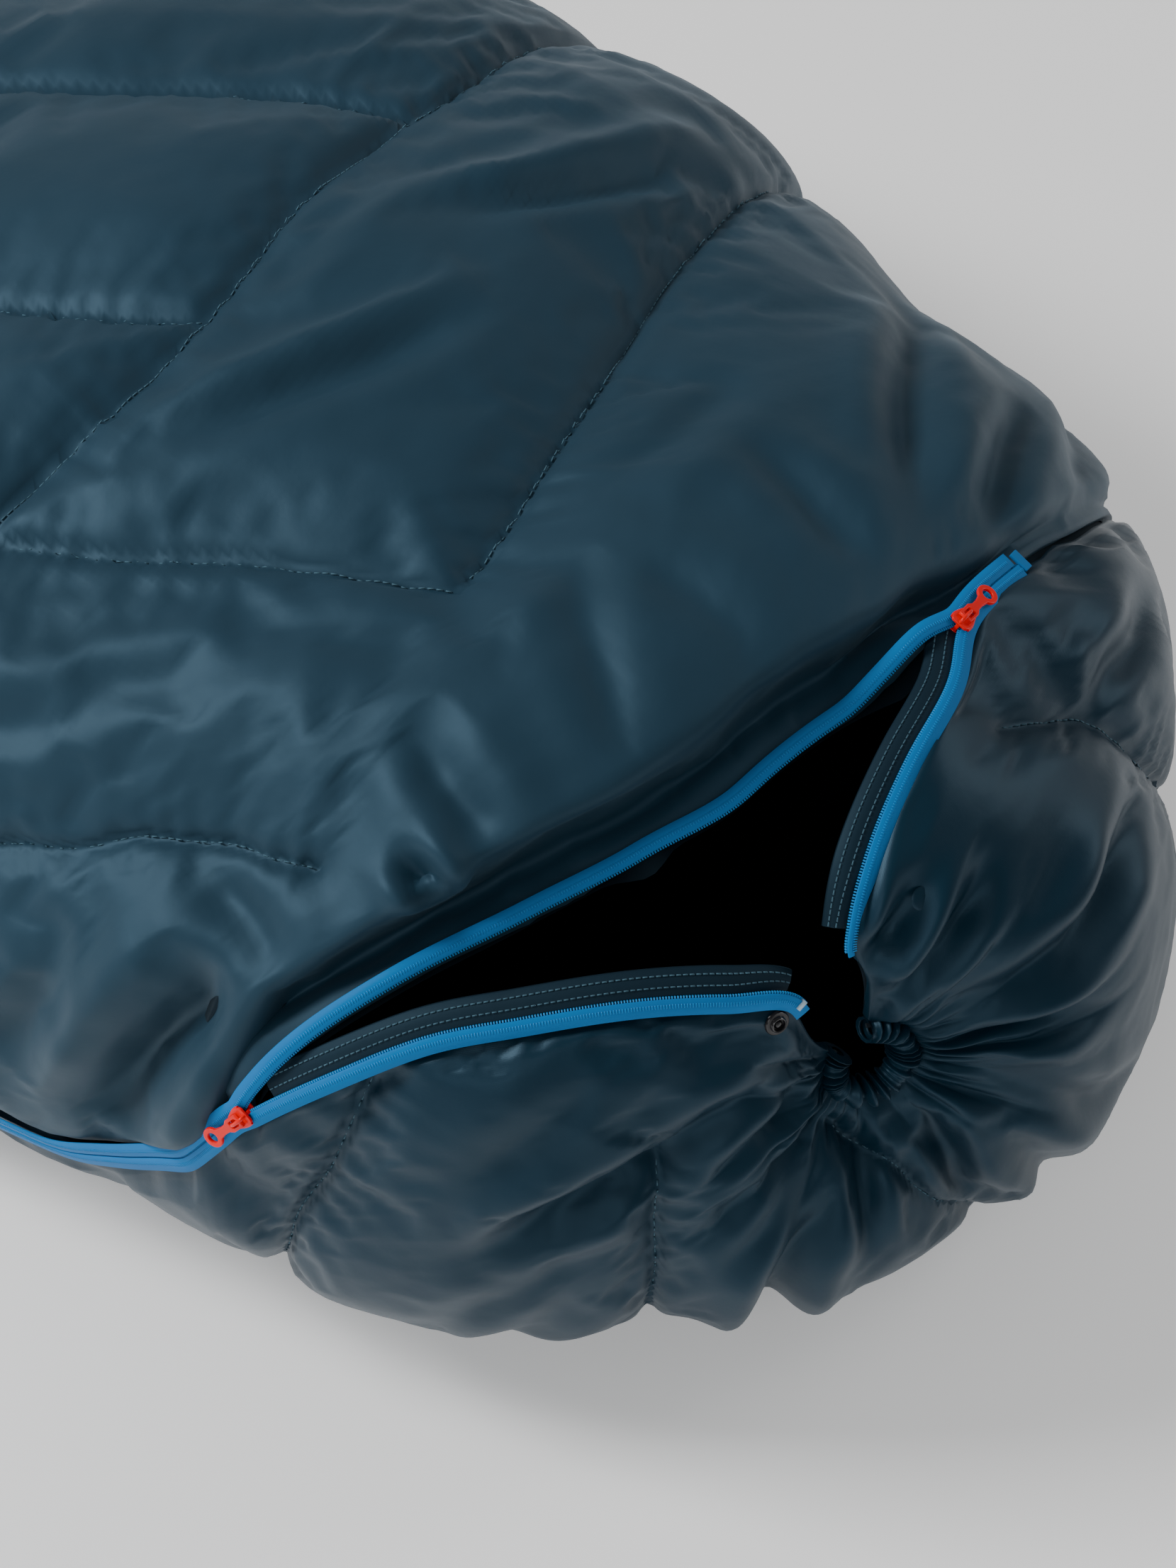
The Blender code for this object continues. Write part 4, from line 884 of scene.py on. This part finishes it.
def plate(name, outlines, thick, round_edge, matrix, look, size=1.0):
    """A flat shape cut from outlines, with rounded edges."""
    curve = bpy.data.curves.new(name, "CURVE")
    curve.dimensions = "2D"
    curve.fill_mode = "BOTH"
    curve.extrude = (thick / 2 - round_edge) * size
    curve.bevel_depth = round_edge * size
    curve.bevel_resolution = 3
    curve.offset = -round_edge * size
    for outline in outlines:
        line = curve.splines.new("POLY")
        line.points.add(len(outline) - 1)
        line.use_cyclic_u = True
        for spot, corner in zip(line.points, outline):
            spot.co = (corner[0] * size, corner[1] * size, 0, 1)
    item = bpy.data.objects.new(name, curve)
    item.matrix_world = matrix
    curve.materials.append(look)
    bpy.context.scene.collection.objects.link(item)
    return item


def rounded(corners, radius, steps=5):
    """The outline with its corners rounded."""
    made = []
    count = len(corners)
    for k in range(count):
        before, here, after = (Vector(corners[(k + d) % count]) for d in (-1, 0, 1))
        size = min(radius, (before - here).length * 0.45, (after - here).length * 0.45)
        a = here + (before - here).normalized() * size
        b = here + (after - here).normalized() * size
        for s in range(steps + 1):
            t = s / steps
            made.append(tuple(a * (1 - t) ** 2 + here * 2 * t * (1 - t) + b * t * t))
    return made


def circle(middle, radius, count=28):
    return [(middle + radius * math.cos(2 * math.pi * k / count), radius * math.sin(2 * math.pi * k / count))
            for k in range(count)]


def wire(name, points, radius, look, matrix=None, cyclic=False):
    curve = bpy.data.curves.new(name, "CURVE")
    curve.dimensions = "3D"
    curve.bevel_depth = radius
    curve.bevel_resolution = 4
    curve.use_fill_caps = not cyclic
    line = curve.splines.new("NURBS" if not cyclic else "POLY")
    line.points.add(len(points) - 1)
    line.use_cyclic_u = cyclic
    for spot, point in zip(line.points, points):
        spot.co = (*point, 1)
    if not cyclic:
        line.use_endpoint_u = True
        line.order_u = 3
    item = bpy.data.objects.new(name, curve)
    if matrix is not None:
        item.matrix_world = matrix
    curve.materials.append(look)
    bpy.context.scene.collection.objects.link(item)
    return item


SLIDER_SIZE = 1.18


def build_slider(prefix, origin, ahead, normal):
    base_matrix = local_matrix(origin, ahead, normal)
    shift = Matrix.Translation
    size = SLIDER_SIZE
    shape = rounded(((0.0052, 0.0036), (0.0026, 0.0046), (-0.0010, 0.0042), (-0.0052, 0.0029),
                     (-0.0052, -0.0029), (-0.0010, -0.0042), (0.0026, -0.0046), (0.0052, -0.0036)), 0.0014)
    top_plate = plate(prefix + "_slider_top_plate", [shape], 0.0013, 0.0004,
                      base_matrix @ shift((0, 0, 0.0030)), RED, size)
    under_plate = plate(prefix + "_slider_under_plate", [shape], 0.0012, 0.0004,
                        base_matrix @ shift((0, 0, -0.0026)), RED, size)
    wedge = rounded(((0.0050, 0.0009), (0.0024, 0.0003), (0.0024, -0.0003), (0.0050, -0.0009)), 0.0004)
    neck = plate(prefix + "_slider_neck", [wedge], 0.0052, 0.0002, base_matrix, RED, size)
    flanges = []
    for side, word in ((1, "near"), (-1, "far")):
        rim = [(0.0036, side * 0.0042), (0.0020, side * 0.0045), (-0.0010, side * 0.0041),
               (-0.0048, side * 0.0027)]
        flanges.append(wire(prefix + "_slider_flange_" + word,
                            [(x * size, y * size, 0.0026) for x, y in rim], 0.0007, RED, base_matrix))
    arch = [(0.0040, 0, 0.0032), (0.0040, 0, 0.0050), (0.0028, 0, 0.0064), (0, 0, 0.0068),
            (-0.0028, 0, 0.0064), (-0.0040, 0, 0.0050), (-0.0040, 0, 0.0032)]
    bridge = wire(prefix + "_slider_bridge_loop", [(x * size, y, z) for x, y, z in arch], 0.0010, RED,
                  base_matrix)
    pivot = base_matrix @ shift((0.0012, 0, 0.0050))
    middle = -0.0195
    body = [(0.0005, 0.0031), (-0.0064, 0.0031), (-0.0086, 0.0019), (-0.0120, 0.0018)]
    ring = [(middle + 0.0046 * math.cos(t), 0.0046 * math.sin(t))
            for t in np.radians(np.linspace(32, 328, 26))]
    outline = body + ring + [(x, -y) for x, y in body[::-1]]
    window = rounded(((-0.0008, 0.0017), (-0.0008, -0.0017), (-0.0056, -0.0017), (-0.0056, 0.0017)), 0.0008)
    pull = plate(prefix + "_pull_tab", [outline, window, circle(middle, 0.0024)], 0.0016, 0.0004, pivot,
                 RED, size)
    for item in (top_plate, under_plate, neck, *flanges, bridge):
        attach(item, prefix + "_slider")
    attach(pull, prefix + "_pull")
    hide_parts(prefix + "_slider_body")
    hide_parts(prefix + "_slider_bridge")
    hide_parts(prefix + "_puller")


side_from = float(smooth(0.95, SIDE_ZIP, 1))
here, back, normal = chain_frame(170.0, 0.90, side_from, 0.95)
build_slider("side", here, -back, normal)
here, back, normal = chain_frame(64.0, 0.53, 53.0, 0.60)
build_slider("foot", here, -back, normal)
here, ahead, normal = chain_frame(180.0, 1.965 + 0.72, 180.0, 1.995 + 0.72)
build_slider("head", here, ahead, normal)

here, back, normal = chain_frame(53.0, 0.60, 64.0, 0.53)
stop_shape = rounded(((-0.0062, 0.0056), (-0.0062, -0.0056), (-0.0008, -0.0056), (-0.0008, 0.0056)), 0.0006)
blind_stop = plate("zip_blind_end_patch", [stop_shape], 0.0020, 0.0004,
                   local_matrix(here + normal * 0.0012, back, normal), TAPE)
dress(blind_stop, TAPE)
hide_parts("zip_blind_end_stop")
near_rail = rails["bottom"]
end_stop = blocks("zip_end_stop_near", [(near_rail.spot(0.0022, 0.0012)[-3], near_rail.way[-3] * 0.0011,
                                         near_rail.side[-3] * 0.0026, near_rail.normal[-3] * 0.0011)])
dress(end_stop, STOP)
for word in ("top", "bottom"):
    paint("zip_head_stop_" + word, COIL)


# ------------------------------------------------------------ snap, hem, facings, bindings
def turned(name, profile, matrix, look, steps=48):
    """A turned piece from (radius, height) places."""
    turns = np.linspace(0, 2 * math.pi, steps + 1)
    radii, heights = np.array(profile).T
    points = np.stack([radii[:, None] * np.cos(turns), radii[:, None] * np.sin(turns),
                       heights[:, None] + 0 * turns], -1)
    item = sheet_mesh(name, points, flip=True)
    item.data.set_sharp_from_angle(angle=math.radians(50))
    item.matrix_world = matrix
    item.data.materials.append(look)
    return item


def skin_place(tree, angle, station):
    """The nearest place on a quilt's visible skin, with the way out there."""
    start = surface(angle, station)
    out = outward_at(np.array(float(angle)), np.array(float(station)))
    spot, _, _, _ = tree.ray_cast(Vector(start + out * 0.05), Vector(-out))
    if spot is None:
        spot = tree.find_nearest(Vector(start))[0]
    return np.array(spot), out


top_tree = BVHTree.FromPolygons([v.co for v in top_outer.data.vertices],
                                [tuple(p.vertices) for p in top_outer.data.polygons])
bottom_tree = BVHTree.FromPolygons([v.co for v in bottom_outer.data.vertices],
                                   [tuple(p.vertices) for p in bottom_outer.data.polygons])
spot, out = skin_place(bottom_tree, 121.5, 0.235)
stud_matrix = local_matrix(spot - out * 0.0004, unit(np.cross(out, (0, 0, 1))), out)
stud_profile = ((0, 0.0021), (0.0013, 0.0021), (0.0016, 0.0018), (0.0017, 0.0012), (0.0022, 0.0009),
                (0.0027, 0.0010), (0.0031, 0.0026), (0.0036, 0.0028), (0.0040, 0.0024), (0.0043, 0.0013),
                (0.0050, 0.0011), (0.0058, 0.0012), (0.0062, 0.0008), (0.0063, 0.0))
stud = turned("snap_stud_cap", stud_profile, stud_matrix, BLACK)
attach(stud, "bag")
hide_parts("snap_stud_outer")
spot, out = skin_place(bottom_tree, 78.0, 0.24)
# the socket cap is covered in the flap satin, with its painted shade
socket = turned("snap_socket_cap", ((0, 0.0009), (0.0045, 0.0008), (0.0058, 0.0003), (0.0060, 0.0)),
                local_matrix(spot - out * 0.0006, unit(np.cross(out, (0, 0, 1))), out), FLAP_WITH_PAINTED_SHADE)
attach(socket, "bag")
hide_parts("snap_socket_outer")
for word in ("snap_stud_inner", "snap_socket_inner"):
    paint(word, BLACK)

turns = np.linspace(130.0, 442.0, 420)
ring = surface(turns, 0.040)
wander = np.radians(turns) + 0.09 * np.sin(np.radians(turns) * 5)
pleat = 0.0030 * np.abs(np.sin(wander * 13)) + 0.0011 * np.sin(wander * 31)
radius = (0.0040 + pleat)[:, None]
away = unit(ring - GATHER)
sections = []
for t in np.linspace(0, 2 * math.pi, 13):
    sections.append(ring - GATHER_AXIS * 0.004 + away * radius * math.cos(t)
                    + GATHER_AXIS * radius * math.sin(t) * 1.2)
hem = sheet_mesh("hem_sleeve_gathered", np.stack(sections, 1))
# the gathered hem takes the flap satin, with its painted shade
dress(hem, FLAP_WITH_PAINTED_SHADE)
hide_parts("foot_hem_sleeve")
paint("foot_elastic_cord", ELASTIC)

FACING_NARROW = 0.45
FACING_SINK = 0.006
for name, rail_name, word in (("near_draft_facing", "bottom", "near_facing"),
                              ("far_draft_facing", "foot", "far_facing")):
    rail = rails[rail_name]
    low = 0.06 if rail_name == "foot" else float(rail.at[np.argmin(np.abs(rail.place[:, 1] - 0.86))])
    start = int(np.searchsorted(rail.at, low))
    profile = ((0.0030, -0.0008), (-0.0010, -0.0016), (-0.0060, -0.0022), (-0.0125, -0.0050),
               (-0.0128, -0.0064), (-0.0060, -0.0040), (-0.0010, -0.0030), (0.0030, -0.0022))
    facing_strip = ribbon(name, rail, profile, start, -4, narrow=FACING_NARROW, sink=FACING_SINK)
    dress(facing_strip, FACING)
    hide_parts(word)
    seam_rows = []
    for sideways, outwards in ((-0.0045, -0.0018), (-0.0095, -0.0035)):
        ending = end_share(rail)
        line = rail.spot(sideways * (1 - FACING_NARROW * ending), outwards - FACING_SINK * ending)[start:-4]
        for k in range(len(line) - 1):
            way = line[k + 1] - line[k]
            seam_rows.append((0.5 * (line[k] + line[k + 1]), way * 0.36, rail.side[start + k] * 0.00028,
                              rail.normal[start + k] * 0.0003))
    dress(blocks(word + "_stitches", seam_rows), THREAD)
paint("side_draft_tube", LINING)

for word, first, last in (("top", 4.0, 176.0), ("bottom", 184.0, 356.0)):
    turns = np.linspace(first, last, 260)
    spine = surface(turns, HEAD_STATION) + np.array((0, 0.004, 0))
    inward = -outward_at(turns, np.full_like(turns, 2.6))
    rows = []
    for t in np.linspace(0, 2 * math.pi, 15):
        wave = (0.0004 * np.sin(turns * 2.1) + 0.0003 * np.sin(turns * 5.3))[:, None]
        rows.append(spine + inward * (0.0040 + (0.0042 + wave) * math.cos(t))
                    + np.array((0, 1.0, 0)) * (0.0036 * math.sin(t)))
    binding = sheet_mesh("head_binding_piping_" + word, np.stack(rows, 1))
    dress(binding, BINDING)
    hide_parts("head_binding_" + word)


# ------------------------------------------------------------ stitches
def stitch_row(tree, places, pitch=0.0043, length=0.0031):
    points = surface(places[:, 0], places[:, 1])
    outs = outward_at(places[:, 0], np.clip(places[:, 1], 0.03, HEAD_STATION - 0.005))
    at = run_lengths(points)
    found = []
    for middle in np.arange(pitch, at[-1] - pitch, pitch):
        here = np.array([np.interp(middle, at, points[:, k]) for k in range(3)])
        out = unit(np.array([np.interp(middle, at, outs[:, k]) for k in range(3)]))
        spot = tree.ray_cast(Vector(here + out * 0.03), Vector(-out), 0.08)[0]
        found.append(None if spot is None else (np.array(spot), out))
    spots = []
    for a, b in zip(found, found[1:]):
        if a is None or b is None:
            continue
        way = b[0] - a[0]
        size = np.linalg.norm(way)
        if size > pitch * 1.8 or size < 1e-4:
            continue
        way /= size
        across = unit(np.cross(a[1], way))
        spots.append((a[0] + a[1] * 0.00015, way * length / 2, across * 0.00028,
                      np.cross(way, across) * 0.00022))
    return spots


thread = []
for seam in TOP_SEAMS:
    thread += stitch_row(top_tree, dense(seam, 0.004))
for seam in FOOT_SEAMS + BOTTOM_SEAMS:
    thread += stitch_row(bottom_tree, dense(seam, 0.004))
stitches = blocks("quilting_stitches", thread)
dress(stitches, THREAD)

# ------------------------------------------------------------ stage, light and camera
floor = sheet_mesh("studio_floor", np.array([[(-9, -9, 0), (9, -9, 0)], [(-9, 9, 0), (9, 9, 0)]], float))
floor_look, _, floor_shader = material("floor_paper", (0.90, 0.90, 0.90), 0.9)
floor_shader.inputs["Emission Color"].default_value = (1, 1, 1, 1)
floor_shader.inputs["Emission Strength"].default_value = 0.30
floor.data.materials.append(floor_look)


def area_light(name, place, aim, size, power, colour=(1, 1, 1)):
    lamp = bpy.data.lights.new(name, "AREA")
    lamp.shape = "RECTANGLE"
    lamp.size, lamp.size_y = size
    lamp.energy = power
    lamp.color = colour
    item = bpy.data.objects.new(name, lamp)
    item.location = place
    item.rotation_euler = (Vector(aim) - Vector(place)).to_track_quat("-Z", "Y").to_euler()
    bpy.context.scene.collection.objects.link(item)


area_light("key", (-1.7, 1.3, 2.5), (0, -0.5, 0.2), (1.1, 1.1), 105)
area_light("fill", (-2.4, -1.6, 1.5), (0, -0.7, 0.1), (1.2, 1.0), 12)
area_light("rim", (1.9, -1.9, 1.5), (0, -0.8, 0.1), (0.7, 0.9), 10)
world = bpy.data.worlds.new("studio")
world.use_nodes = True
world.node_tree.nodes["Background"].inputs["Color"].default_value = (1, 1, 1, 1)
world.node_tree.nodes["Background"].inputs["Strength"].default_value = 0.30
bpy.context.scene.world = world

camera_data = bpy.data.cameras.new("camera")
camera_data.sensor_fit = "VERTICAL"
camera_data.sensor_height = 36.0
camera_data.lens = 92.77
camera_data.clip_end = 30
camera = bpy.data.objects.new("camera", camera_data)
camera.location = (-1.1209, -1.6868, 1.6357)
camera.rotation_euler = (math.radians(45), 0, math.radians(-48))
bpy.context.scene.collection.objects.link(camera)
bpy.context.scene.camera = camera
